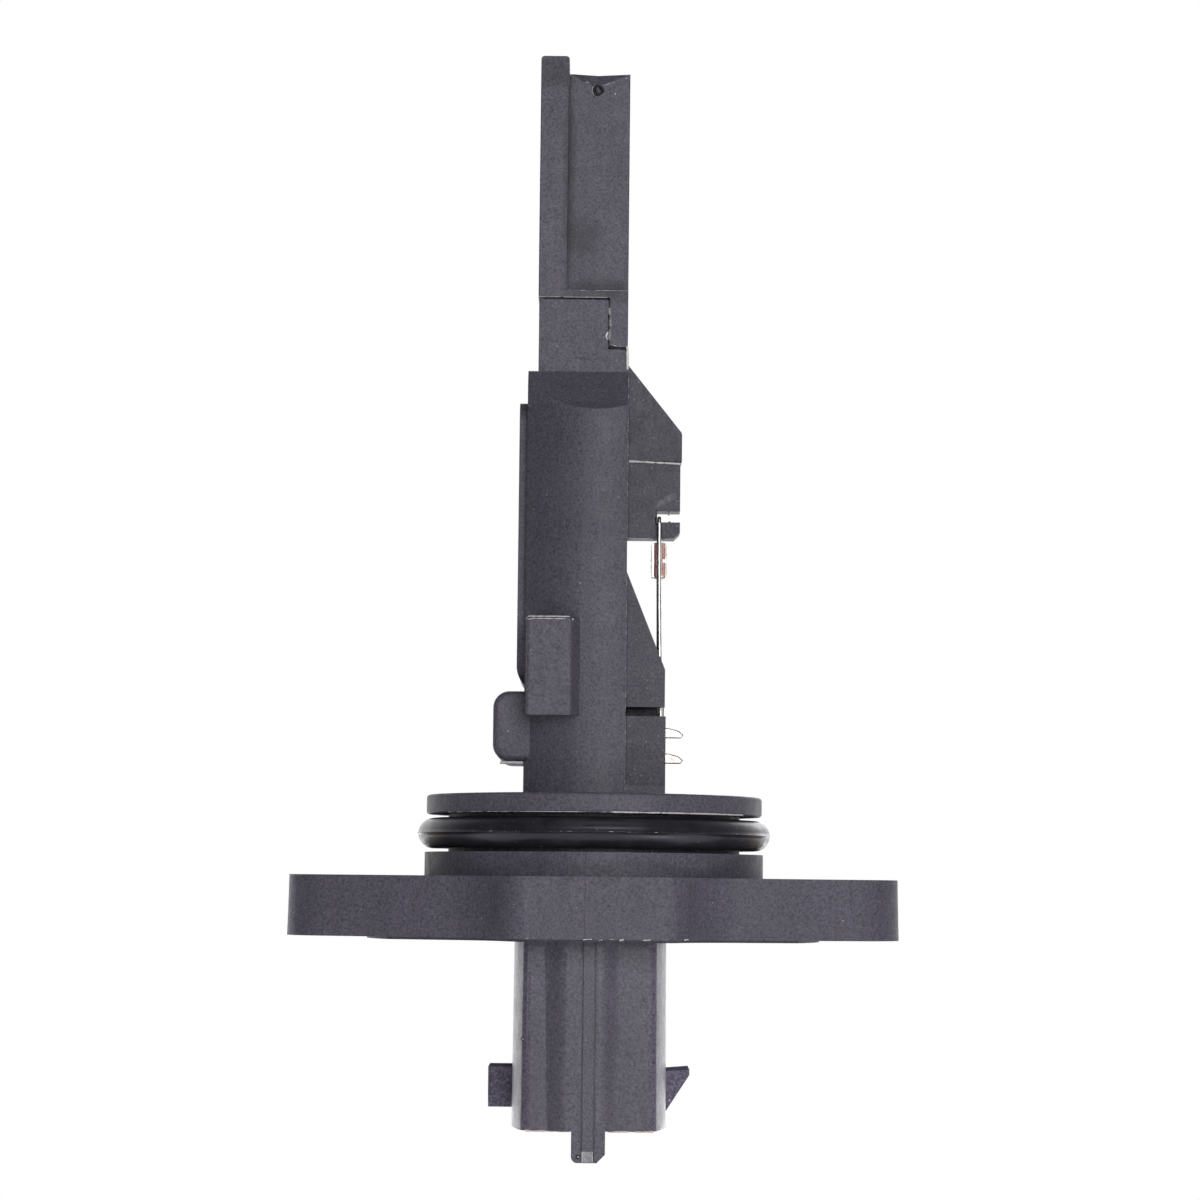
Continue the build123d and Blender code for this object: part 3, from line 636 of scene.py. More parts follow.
@dataclass(frozen=True)
class TurnedBrass:
    """Turned sleeve metal with rings round the Z axis."""

    name: str
    colour: Colour = (0.72, 0.56, 0.30)

    def build(self) -> Material:
        """Make the material.

        Returns:
            The material.
        """
        graph = Graph(self.name)
        rings = graph.noise(1.0, 2.0, 0.5, graph.stretched((0.4, 0.4, 9.0)))
        patch = graph.noise(0.7, 4.0)
        colour = graph.shade(self.colour, graph.span(patch, 0.3, 0.7, 0.82, 1.08))
        rough = graph.span(rings, 0.3, 0.7, 0.22, 0.40)
        graph.surface(Base_Color=colour, Metallic=1.0, Roughness=rough, Normal=graph.bump(rings, 0.01))
        return graph.material


@dataclass(frozen=True)
class ClearGlass:
    """Clear glass with a faint waviness in its skin."""

    name: str = "bead_glass"

    def build(self) -> Material:
        """Make the material.

        Returns:
            The material.
        """
        graph = Graph(self.name)
        wave = graph.noise(0.8, 2.0)
        rough = graph.span(wave, 0.3, 0.7, 0.0, 0.05)
        graph.surface(Base_Color=(0.97, 0.95, 0.93), Roughness=rough, IOR=1.5, Transmission_Weight=1.0,
                      Normal=graph.bump(wave, 0.01))
        return graph.material


@dataclass(frozen=True)
class CopperSlug:
    """Orange-red copper oxide under glass, with paler streaks."""

    name: str = "slug_metal"
    colour: Colour = (0.94, 0.37, 0.25)
    bright: Colour = (0.97, 0.70, 0.58)

    def build(self) -> Material:
        """Make the material.

        Returns:
            The material.
        """
        graph = Graph(self.name)
        streaks = graph.noise(1.2, 3.0, 0.6, graph.stretched((3.0, 3.0, 1.0)))
        colour = graph.mix(graph.span(streaks, 0.45, 0.75), self.colour, self.bright)
        rough = graph.span(streaks, 0.3, 0.7, 0.35, 0.5)
        graph.surface(Base_Color=colour, Roughness=rough, Normal=graph.bump(streaks, 0.01))
        return graph.material


@dataclass(frozen=True)
class CuredAdhesive:
    """White cured adhesive, slightly translucent and uneven."""

    name: str = "adhesive"
    colour: Colour = (0.80, 0.79, 0.76)

    def build(self) -> Material:
        """Make the material.

        Returns:
            The material.
        """
        graph = Graph(self.name)
        lumps = graph.noise(3.0, 3.0)
        colour = graph.shade(self.colour, graph.span(lumps, 0.3, 0.7, 0.8, 1.1))
        rough = graph.span(lumps, 0.3, 0.7, 0.3, 0.5)
        graph.surface(Base_Color=colour, Roughness=rough, Normal=graph.bump(lumps, 0.03))
        return graph.material


@dataclass(frozen=True)
class PlainCeramic:
    """Fired ceramic or moulded package: a fine grain over one colour."""

    name: str
    colour: Colour
    roughness: float = 0.45
    grain_scale: float = 5.0

    def build(self) -> Material:
        """Make the material.

        Returns:
            The material.
        """
        graph = Graph(self.name)
        grain = graph.noise(self.grain_scale, 3.0)
        blotch = graph.noise(0.5, 2.0)
        tone = graph.times(graph.span(grain, 0.3, 0.7, 0.88, 1.1), graph.span(blotch, 0.3, 0.7, 0.93, 1.05))
        rough = graph.span(grain, 0.3, 0.7, self.roughness - 0.08, self.roughness + 0.08)
        colour = graph.shade(self.colour, tone)
        graph.surface(Base_Color=colour, Roughness=rough, Normal=graph.bump(grain, 0.006))
        return graph.material


@dataclass(frozen=True)
class PaleTrace:
    """Uneven mark in one colour: stress-whitened plastic, dried glue, dust, ripped plastic, and painted
    highlights, reflections and shade; most pale and matt.
    """

    name: str
    colour: Colour
    roughness: float = 0.6
    unevenness: float = 0.5

    def build(self) -> Material:
        """Make the material.

        Returns:
            The material.
        """
        graph = Graph(self.name)
        lumps = graph.noise(3.5, 3.0, 0.6)
        colour = graph.shade(self.colour, graph.around(lumps, 0.3, 0.7, self.unevenness))
        rough = graph.span(lumps, 0.3, 0.7, self.roughness - 0.1, self.roughness + 0.1)
        graph.surface(Base_Color=colour, Roughness=rough, Normal=graph.bump(lumps, 0.02))
        return graph.material


@dataclass(frozen=True)
class StudioFloor:
    """White floor: shown white to camera and reflections, with the shadow kept faintly below the sensor."""

    name: str = "studio_floor"
    glow: float = 0.80
    gain: float = 1.12
    near: float = 300.0
    far: float = 1100.0

    def build(self) -> Material:
        """Make the material.

        Returns:
            The material.
        """
        graph = Graph(self.name)
        matt = graph.node("ShaderNodeBsdfDiffuse")
        matt.inputs["Color"].default_value = (0.92, 0.92, 0.92, 1.0)
        distance = graph.node("ShaderNodeVectorMath")
        distance.operation = "LENGTH"
        graph.link(graph.place, distance.inputs[0])
        white = graph.node("ShaderNodeEmission")
        strength = graph.span(distance.outputs["Value"], self.near, self.far, self.gain, 1.0)
        graph.link(strength, white.inputs["Strength"])
        glow = graph.span(distance.outputs["Value"], self.near, self.far, self.glow, 1.0)
        rays = graph.node("ShaderNodeLightPath")
        seen = graph.math(Sum.MAXIMUM, rays.outputs["Is Camera Ray"], rays.outputs["Is Glossy Ray"])
        seen = graph.math(Sum.MAXIMUM, seen, rays.outputs["Is Transmission Ray"])
        mixed = graph.node("ShaderNodeMixShader")
        graph.link(graph.times(seen, glow), mixed.inputs["Fac"])
        graph.link(matt.outputs[0], mixed.inputs[1])
        graph.link(white.outputs[0], mixed.inputs[2])
        graph.link(mixed.outputs[0], graph.output.inputs["Surface"])
        return graph.material


def dress(node: str, material: Material) -> None:
    """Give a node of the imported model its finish.

    Args:
        node: Name of the node.
        material: Finish for all its faces.
    """
    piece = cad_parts[node]
    piece.data.materials.clear()
    piece.data.materials.append(material)
    log.info("%s wears %s", node, material.name)


class Recipe:
    """Geometry Nodes tree with named inputs, whose result is baked into a plain mesh."""

    def __init__(self, name: str) -> None:
        """Start a tree that takes and gives one geometry.

        Args:
            name: Name of the tree.
        """
        self.tree = bpy.data.node_groups.new(name, "GeometryNodeTree")
        self.tree.is_modifier = True
        self.keys: dict[str, str] = {}
        self.source = self.tree.nodes.new("NodeGroupInput")
        self.result = self.tree.nodes.new("NodeGroupOutput")
        self.add_input("Geometry", "NodeSocketGeometry")
        self.tree.interface.new_socket("Geometry", in_out="OUTPUT", socket_type="NodeSocketGeometry")

    def add_input(self, name: str, kind: str = "NodeSocketFloat") -> Socket:
        """Give the tree a named input.

        Args:
            name: Name of the input.
            kind: Type of its socket.

        Returns:
            The socket inside the tree.
        """
        socket = self.tree.interface.new_socket(name, in_out="INPUT", socket_type=kind)
        self.keys[name] = socket.identifier
        return self.source.outputs[name]

    def node(self, kind: str, **settings: object) -> bpy.types.Node:
        """Add a node.

        Args:
            kind: Type of the node.
            **settings: Its properties by name.

        Returns:
            The node.
        """
        node = self.tree.nodes.new(kind)
        for name, value in settings.items():
            setattr(node, name, value)
        return node

    def feed(self, target: Socket, value: object) -> None:
        """Give a socket a value or a link.

        Args:
            target: Socket that takes it.
            value: A number or the socket of another node.
        """
        if isinstance(value, Socket):
            self.tree.links.new(value, target)
        else:
            target.default_value = value

    def math(self, operation: Sum, first: object, second: object = 0.0, third: object = 0.0) -> Socket:
        """Arithmetic on two or three values.

        Args:
            operation: What the node does.
            first: Number or socket.
            second: Number or socket.
            third: Number or socket, which only some operations read.

        Returns:
            The socket with the result.
        """
        node = self.node("ShaderNodeMath", operation=operation.value)
        for target, value in zip(node.inputs, (first, second, third)):
            self.feed(target, value)
        return node.outputs[0]

    def noise(self, pitch: float, seed: object, detail: float = 1.0) -> bpy.types.Node:
        """Seeded noise over the place of the points.

        Args:
            pitch: Size of its waves, in millimetres.
            seed: Number or socket that picks the pattern.
            detail: Number of finer layers.

        Returns:
            The node, with its value and its colour.
        """
        node = self.node("ShaderNodeTexNoise", noise_dimensions="4D")
        node.inputs["Scale"].default_value = 1 / (pitch * MM)
        node.inputs["Detail"].default_value = detail
        self.feed(node.inputs["W"], seed)
        return node

    def close(self, geometry: Socket, material: Socket) -> None:
        """End the tree: make copies real and give them their material.

        Args:
            geometry: Socket with the shape.
            material: Socket with the material.
        """
        real = self.node("GeometryNodeRealizeInstances")
        self.feed(real.inputs["Geometry"], geometry)
        finish = self.node("GeometryNodeSetMaterial")
        self.feed(finish.inputs["Geometry"], real.outputs["Geometry"])
        self.feed(finish.inputs["Material"], material)
        self.feed(self.result.inputs["Geometry"], finish.outputs["Geometry"])

    def bake(self, source: Mesh, name: str, values: dict[str, object]) -> Mesh:
        """Run the tree on a mesh.

        Args:
            source: Mesh that goes into the tree, in metres.
            name: Name of the result.
            values: Value of each named input.

        Returns:
            The plain mesh that comes out.
        """
        holder = bpy.data.objects.new(name + "_source", source)
        bpy.context.scene.collection.objects.link(holder)
        modifier = holder.modifiers.new("recipe", "NODES")
        modifier.node_group = self.tree
        for key, value in values.items():
            modifier[self.keys[key]] = value
        graph = bpy.context.evaluated_depsgraph_get()
        mesh = bpy.data.meshes.new_from_object(holder.evaluated_get(graph), depsgraph=graph)
        mesh.name = name
        holder.modifiers.clear()
        bpy.data.objects.remove(holder)
        return mesh


class TraceRecipe(Recipe):
    """Uneven bead that follows a path: flash, dried glue, lint, and painted highlights and shade, with gaps
    where it thins out.
    """

    def __init__(self) -> None:
        """Build the tree."""
        super().__init__("uneven_trace")
        names = ("Radius", "Presence", "Wander", "Pitch", "Seed")
        radius, presence, wander, pitch, seed = [self.add_input(name) for name in names]
        sides = self.add_input("Sides", "NodeSocketInt")
        material = self.add_input("Material", "NodeSocketMaterial")
        path = self.node("GeometryNodeMeshToCurve")
        self.feed(path.inputs["Mesh"], self.source.outputs["Geometry"])
        even = self.node("GeometryNodeResampleCurve", mode="LENGTH")
        self.feed(even.inputs["Curve"], path.outputs["Curve"])
        self.feed(even.inputs["Length"], pitch)
        sway = self.noise(1.1, seed, 3.0)
        centred = self.node("ShaderNodeVectorMath", operation="SUBTRACT")
        self.feed(centred.inputs[0], sway.outputs["Color"])
        centred.inputs[1].default_value = (0.5, 0.5, 0.5)
        offset = self.node("ShaderNodeVectorMath", operation="SCALE")
        self.feed(offset.inputs[0], centred.outputs["Vector"])
        self.feed(offset.inputs["Scale"], wander)
        placed = self.node("GeometryNodeSetPosition")
        self.feed(placed.inputs["Geometry"], even.outputs["Curve"])
        self.feed(placed.inputs["Offset"], offset.outputs["Vector"])
        swell = self.noise(0.55, self.math(Sum.ADD, seed, 7.3), 2.0)
        start = self.math(Sum.MULTIPLY_ADD, presence, -0.4, 0.68)
        share = self.node("ShaderNodeMapRange")
        self.feed(share.inputs["Value"], swell.outputs["Fac"])
        self.feed(share.inputs["From Min"], start)
        self.feed(share.inputs["From Max"], self.math(Sum.ADD, start, 0.16))
        share.inputs["To Min"].default_value = 0.04
        share.inputs["To Max"].default_value = 1.0
        profile = self.node("GeometryNodeCurvePrimitiveCircle")
        self.feed(profile.inputs["Resolution"], sides)
        profile.inputs["Radius"].default_value = 1.0
        sweep = self.node("GeometryNodeCurveToMesh")
        self.feed(sweep.inputs["Curve"], placed.outputs["Geometry"])
        self.feed(sweep.inputs["Profile Curve"], profile.outputs["Curve"])
        self.feed(sweep.inputs["Scale"], self.math(Sum.MULTIPLY, share.outputs["Result"], radius))
        sweep.inputs["Fill Caps"].default_value = True
        self.close(sweep.outputs["Mesh"], material)


class FleckRecipe(Recipe):
    """Flat irregular grains strewn over a surface, in loose clouds."""

    def __init__(self) -> None:
        """Build the tree."""
        super().__init__("strewn_flecks")
        density, size, low = [self.add_input(name) for name in ("Density", "Size", "Low")]
        seed = self.add_input("Seed", "NodeSocketInt")
        material = self.add_input("Material", "NodeSocketMaterial")
        place = self.node("GeometryNodeInputPosition")
        split = self.node("ShaderNodeSeparateXYZ")
        self.feed(split.inputs[0], place.outputs["Position"])
        cloud = self.noise(6.0, 3.0, 2.0)
        share = self.node("ShaderNodeMapRange")
        self.feed(share.inputs["Value"], cloud.outputs["Fac"])
        share.inputs["From Min"].default_value = 0.42
        share.inputs["From Max"].default_value = 0.62
        share.inputs["To Min"].default_value = 0.15
        strewn = self.node("GeometryNodeDistributePointsOnFaces", distribute_method="RANDOM")
        self.feed(strewn.inputs["Mesh"], self.source.outputs["Geometry"])
        self.feed(strewn.inputs["Selection"], self.math(Sum.GREATER_THAN, split.outputs["Z"], low))
        self.feed(strewn.inputs["Density"], self.math(Sum.MULTIPLY, density, share.outputs["Result"]))
        self.feed(strewn.inputs["Seed"], seed)
        grain = self.node("GeometryNodeMeshIcoSphere")
        self.feed(grain.inputs["Radius"], size)
        grain.inputs["Subdivisions"].default_value = 1
        flat = self.node("GeometryNodeTransform")
        self.feed(flat.inputs["Geometry"], grain.outputs["Mesh"])
        flat.inputs["Scale"].default_value = (1.0, 0.7, 0.45)
        scale = self.node("FunctionNodeRandomValue", data_type="FLOAT_VECTOR")
        scale.inputs["Min"].default_value = (0.35, 0.35, 0.5)
        scale.inputs["Max"].default_value = (1.0, 1.0, 1.0)
        self.feed(scale.inputs["Seed"], seed)
        copies = self.node("GeometryNodeInstanceOnPoints")
        self.feed(copies.inputs["Points"], strewn.outputs["Points"])
        self.feed(copies.inputs["Instance"], flat.outputs["Geometry"])
        self.feed(copies.inputs["Rotation"], strewn.outputs["Rotation"])
        self.feed(copies.inputs["Scale"], scale.outputs["Value"])
        self.close(copies.outputs["Instances"], material)


def enlist(name: str, mesh: Mesh, smooth: bool = True) -> Piece:
    """Make a finished mesh a piece that rides on the sensor.

    Args:
        name: Name of the piece.
        mesh: Its mesh, with its place in it.
        smooth: Whether its faces are shaded smooth.

    Returns:
        The piece.
    """
    for face in mesh.polygons:
        face.use_smooth = smooth
    piece = bpy.data.objects.new(name, mesh)
    bpy.context.scene.collection.objects.link(piece)
    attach(piece, "root")
    log.info("built %s with %d faces", name, len(mesh.polygons))
    return piece


def path_mesh(points: list[Point]) -> Mesh:
    """Open path through points.

    Args:
        points: The points, in millimetres.

    Returns:
        A mesh of edges, in metres.
    """
    mesh = bpy.data.meshes.new("path")
    places = [tuple(value * MM for value in point) for point in points]
    mesh.from_pydata(places, [(step, step + 1) for step in range(len(points) - 1)], [])
    return mesh


def arc_points(centre: Point, radius: float, start: float, end: float, facing: Facing,
               step: float = 4.0) -> list[Point]:
    """Points along an arc in a plane across one axis.

    Args:
        centre: Centre of the arc, in millimetres.
        radius: Its radius.
        start: First angle in degrees.
        end: Last angle in degrees.
        facing: Axis that the plane lies across.
        step: Degrees between points.

    Returns:
        The points.
    """
    count = max(2, int(abs(end - start) / step) + 1)
    points = []
    for index in range(count + 1):
        angle = math.radians(start + (end - start) * index / count)
        along, across = radius * math.cos(angle), radius * math.sin(angle)
        shifts = {
            Facing.UP: (along, across, 0.0),
            Facing.NEAR: (along, 0.0, across),
            Facing.SIDE: (0.0, along, across),
        }
        points.append(tuple(middle + shift for middle, shift in zip(centre, shifts[facing])))
    return points


@dataclass
class Trace:
    """One uneven bead along a path."""

    name: str
    points: list[Point]
    radius: float
    presence: float = 0.6
    wander: float = 0.1
    seed: float = 1.0
    pitch: float = 0.12
    sides: int = 6
    slot: str = "housing_plastic"

    def build(self, recipe: TraceRecipe, material: Material) -> Piece:
        """Lay the bead.

        Args:
            recipe: Tree that makes it.
            material: Its finish.

        Returns:
            The piece.
        """
        values = {"Radius": self.radius * MM, "Presence": self.presence, "Wander": self.wander * MM,
                  "Pitch": self.pitch * MM, "Seed": self.seed, "Sides": self.sides, "Material": material}
        return enlist(self.name, recipe.bake(path_mesh(self.points), self.name, values))


def finished(body: bmesh.types.BMesh, name: str, material: Material) -> Mesh:
    """Turn edited faces into a mesh that wears its finish.

    Args:
        body: The faces, which are given up.
        name: Name of the mesh.
        material: Its finish.

    Returns:
        The mesh.
    """
    mesh = bpy.data.meshes.new(name)
    body.to_mesh(mesh)
    body.free()
    mesh.materials.append(material)
    return mesh


def turned_mesh(name: str, section: list[tuple[float, float]], turns: int, wave: float,
                material: Material) -> Mesh:
    """Turn a closed section round the Z axis.

    Args:
        name: Name of the mesh.
        section: Points in radius and height, in millimetres.
        turns: Number of places round the axis.
        wave: How far the ring rises and falls on its way round.
        material: Its finish.

    Returns:
        The mesh, in metres.
    """
    body = bmesh.new()
    rings = []
    for turn in range(turns):
        angle = 2 * math.pi * turn / turns
        rise = wave * (math.sin(3 * angle) + 0.6 * math.sin(7 * angle + 1))
        across, along = math.cos(angle), math.sin(angle)
        places = [Vector((radius * across, radius * along, height + rise)) for radius, height in section]
        rings.append([body.verts.new(place * MM) for place in places])
    count = len(section)
    for turn in range(turns):
        here, there = rings[turn], rings[(turn + 1) % turns]
        for step in range(count):
            after = (step + 1) % count
            body.faces.new((here[step], there[step], there[after], here[after]))
    bmesh.ops.recalc_face_normals(body, faces=body.faces)
    return finished(body, name, material)


def lay(recipe: TraceRecipe, beads: tuple[tuple[Trace, Material], ...]) -> None:
    """Lay beads in turn, each in its own finish."""
    for bead, finish in beads:
        bead.build(recipe, finish)


@dataclass
class RoundedRim:
    """Rounded edge that the mould leaves round the disk above the seal."""

    name: str
    radius: float
    height: float
    rises: bool
    edge: float = 0.3
    steps: int = 5
    turns: int = 192

    def build(self, material: Material) -> Piece:
        """Turn the quarter round over the bevelled edge.

        Args:
            material: Finish of the housing.

        Returns:
            The piece.
        """
        way = 1 if self.rises else -1
        centre, middle = self.radius - self.edge, self.height - way * self.edge
        section = [(centre - 0.1, middle - way * 0.1)]
        for step in range(self.steps + 1):
            angle = math.pi / 2 * step / self.steps
            out, up = self.edge * math.cos(angle), self.edge * math.sin(angle)
            section.append((centre + out, middle + way * up))
        mesh = turned_mesh(self.name, section, self.turns, 0.0, material)
        return enlist(self.name, mesh)


@dataclass
class HousingBody:
    """The main moulding: flange, spigot, disk, blade and guards, with the traces that moulding leaves and
    painted highlights.
    """

    blade_right: float = 2.93
    nose_front: float = -10.97
    facet_top: Point = (2.93, -7.2, 49.75)
    facet_foot: float = 45.98
    disk_radius: float = 16.7
    disk_low: float = 6.1
    disk_top: float = 8.0
    flange_front: float = -19.3
    flange_low: float = -5.9
    parting_x: float = -0.75
    spigot_radius: float = 16.85
    spigot_top: float = 2.35
    edge_turns: tuple[float, float, float] = (-148.0, -84.0, -30.0)
    neck_top: float = 51.9
    nose_low: float = 8.3
    witness: Pairs = ((-2.9, 51.05), (-1.9, 51.15), (-1.0, 50.95), (-0.4, 50.7))
    grit: tuple[tuple[float, float, float, float], ...] = (
        (-0.9, -0.1, 0.07, 0.02),
        (0.6, 0.9, 0.06, -0.03),
        (1.6, 1.9, 0.06, 0.03),
        (2.5, 2.9, 0.10, 0.0),
        (4.7, 5.6, 0.07, 0.02),
        (-6.3, -6.0, 0.05, 0.05),
        (8.6, 9.0, 0.06, 0.1),
    )
    arm_near: float = -6.08
    arm_line: float = 41.02
    arm_reach: float = 8.24
    lug_near: float = -8.72
    lug_low: float = 11.02
    lug_ends: tuple[float, float] = (-9.2, -7.0)
    pad_ends: tuple[float, float] = (-6.7, -2.4)
    pad_front: float = -13.2
    pad_top: float = 25.1

    def dress(self, plastic: Material) -> None:
        """Give the moulding and its sleeves their finishes.

        Args:
            plastic: Finish of the housing.
        """
        dress("main_housing", plastic)
        for side in ("left", "right"):
            dress(f"screw_sleeve_{side}", TurnedBrass(f"sleeve_brass_{side}").build())

    def rims(self, plastic: Material) -> None:
        """Round both edges of the disk."""
        RoundedRim("disk_rim_low", self.disk_radius, self.disk_low, False).build(plastic)
        RoundedRim("disk_rim_top", self.disk_radius, self.disk_top, True).build(plastic)

    def painted_edge_highlights(self, recipe: TraceRecipe, painted_highlight: Material) -> None:
        """Lay painted highlights, pale beads along edges under the disk, on the guard's ledge, the nose pad
        and the lug.

        Args:
            recipe: Tree for uneven beads.
            painted_highlight: Finish of the painted highlights.
        """
        centre, reach = (0.0, 0.0, self.disk_low + 0.05), self.disk_radius - 0.02
        first, middle, last = self.edge_turns
        left = arc_points(centre, reach, first, middle, Facing.UP)
        right = arc_points(centre, reach, middle, last, Facing.UP)
        (left_end, right_end), front, top = self.pad_ends, self.pad_front, self.pad_top
        outer = [(left_end, front + 0.35, top - 0.35), (left_end + 0.25, front + 0.12, top - 0.12),
                 (right_end - 0.25, front + 0.12, top - 0.12), (right_end + 0.2, front + 0.35, top - 0.4)]
        inner = [(left_end + 0.1, front + 0.02, top - 0.45), (left_end + 0.6, front + 0.01, top - 0.33),
                 (right_end - 0.6, front + 0.01, top - 0.33)]
        under = [(x, self.lug_near, self.lug_low) for x in self.lug_ends]
        ledge = [(self.blade_right + 0.15, self.arm_near, self.arm_line),
                 (self.arm_reach, self.arm_near, self.arm_line - 0.22)]
        # Painted highlights and reflections of the floor: pale glossy beads along edges that catch light.
        lay(recipe, (
            (Trace("disk_edge_left", left, 0.04, 0.70, 0.03, 31.0), painted_highlight),
            (Trace("disk_edge_right", right, 0.09, 1.0, 0.03, 32.0), painted_highlight),
            (Trace("arm_ledge_edge", ledge, 0.12, 1.0, 0.03, 36.0, 0.10), painted_highlight),
            (Trace("pad_edge_top", outer, 0.085, 1.0, 0.02, 33.0, 0.08), painted_highlight),
            (Trace("pad_edge_inner", inner, 0.05, 0.80, 0.03, 34.0, 0.08), painted_highlight),
            (Trace("lug_edge_low", under, 0.16, 1.0, 0.05, 35.0, 0.10), painted_highlight),
        ))

    def blade_flash(self, recipe: TraceRecipe, chipped: Material) -> None:
        """Lay the pale broken flash down the right edge of the nose.

        Args:
            recipe: Tree for uneven beads.
            chipped: Finish of whitened plastic.
        """
        right = self.blade_right
        low = (right, self.nose_front, self.facet_foot)
        neck = (right, self.facet_top[1], self.neck_top)
        foot = (right, self.nose_front, self.nose_low)
        lay(recipe, (
            (Trace("nose_flash_top", [neck, self.facet_top, low], 0.035, 0.55, 0.05, 2.0), chipped),
            (Trace("nose_flash", [low, foot], 0.035, 0.36, 0.05, 3.0), chipped),
        ))

    def parting_lines(self, recipe: TraceRecipe, plastic: Material) -> None:
        """Lay the parting line over flange and spigot, on the near side and the far one.

        Args:
            recipe: Tree for uneven beads.
            plastic: Finish of the housing.
        """
        x = self.parting_x
        front, low = self.flange_front, self.flange_low
        near = -math.sqrt(self.spigot_radius**2 - x**2)
        lines = {
            "flange_parting_near": [(x, front, low), (x, front + 0.12, 0.0)],
            "flange_parting_far": [(x, -front, low), (x, -front - 0.12, 0.0)],
            "spigot_parting_near": [(x, near, 0.0), (x, near, self.spigot_top)],
            "spigot_parting_far": [(x, -near, 0.0), (x, -near, self.spigot_top)],
        }
        for seed, (name, points) in enumerate(lines.items()):
            Trace(name, points, 0.03, 1.0, 0.03, float(seed)).build(recipe, plastic)

    def scratch(self, recipe: TraceRecipe, torn_and_shade: Material) -> None:
        """Lay the faint curved witness line low on the neck."""
        points = [(x, self.facet_top[1], z) for x, z in self.witness]
        Trace("neck_witness_line", points, 0.022, 0.85, 0.03, 5.0).build(recipe, torn_and_shade)

    def flange_grit(self, recipe: TraceRecipe, dust: Material) -> None:
        """Lay the clots of pale grit along the flange's lower edge above the connector.

        Args:
            recipe: Tree for uneven beads.
            dust: Finish of the grit.
        """
        y, z = self.flange_front - 0.01, self.flange_low
        for index, (start, end, radius, rise) in enumerate(self.grit):
            points = [(start, y, z + rise), (end, y, z + rise + 0.05)]
            clot = Trace(f"flange_grit_{index + 1}", points, radius, 0.80, 0.12, 41.0 + index, 0.07)
            clot.build(recipe, dust)


@dataclass
class SealRing:
    """Rubber ring in the spigot's groove, with the flash of its mould round the equator."""

    radius: float = 17.5
    section: float = 3.0
    height: float = 4.225
    flash: float = 0.15
    flash_edge: float = 0.045
    turns: int = 256
    steps: int = 30

    def section_points(self) -> list[tuple[float, float]]:
        """Closed section in radius and height.

        Returns:
            The points, in millimetres.
        """
        half = self.section / 2
        centre = self.radius - half
        points = []
        start = math.asin(self.flash_edge / half)
        for step in range(self.steps + 1):
            angle = start + (2 * math.pi - 2 * start) * step / self.steps
            points.append((centre + half * math.cos(angle), self.height + half * math.sin(angle)))
        points.append((self.radius + self.flash, self.height - self.flash_edge / 3))
        points.append((self.radius + self.flash, self.height + self.flash_edge / 3))
        return points

    def build(self, rubber: Material) -> Piece:
        """Turn the ring and put it in the place of the plain one.

        Args:
            rubber: Finish of the ring.

        Returns:
            The piece.
        """
        mesh = turned_mesh("seal_ring_moulded", self.section_points(), self.turns, 0.015, rubber)
        piece = enlist("seal_ring_moulded", mesh)
        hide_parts("seal_ring")
        return piece

    def lint(self, recipe: TraceRecipe, dust: Material) -> None:
        """Lay lint along the flash, most of it at the right.

        Args:
            recipe: Tree for uneven beads.
            dust: Finish of the lint.
        """
        centre = (0.0, 0.0, self.height + 0.05)
        spans = (("right", -95.0, -25.0, 0.26), ("left", -160.0, -95.0, 0.20), ("far", 10.0, 170.0, 0.20))
        for side, start, end, share in spans:
            points = arc_points(centre, self.radius + self.flash - 0.02, start, end, Facing.UP)
            lint = Trace(f"seal_lint_{side}", points, 0.035, share, 0.16, start, 0.07, slot="seal_rubber")
            lint.build(recipe, dust)


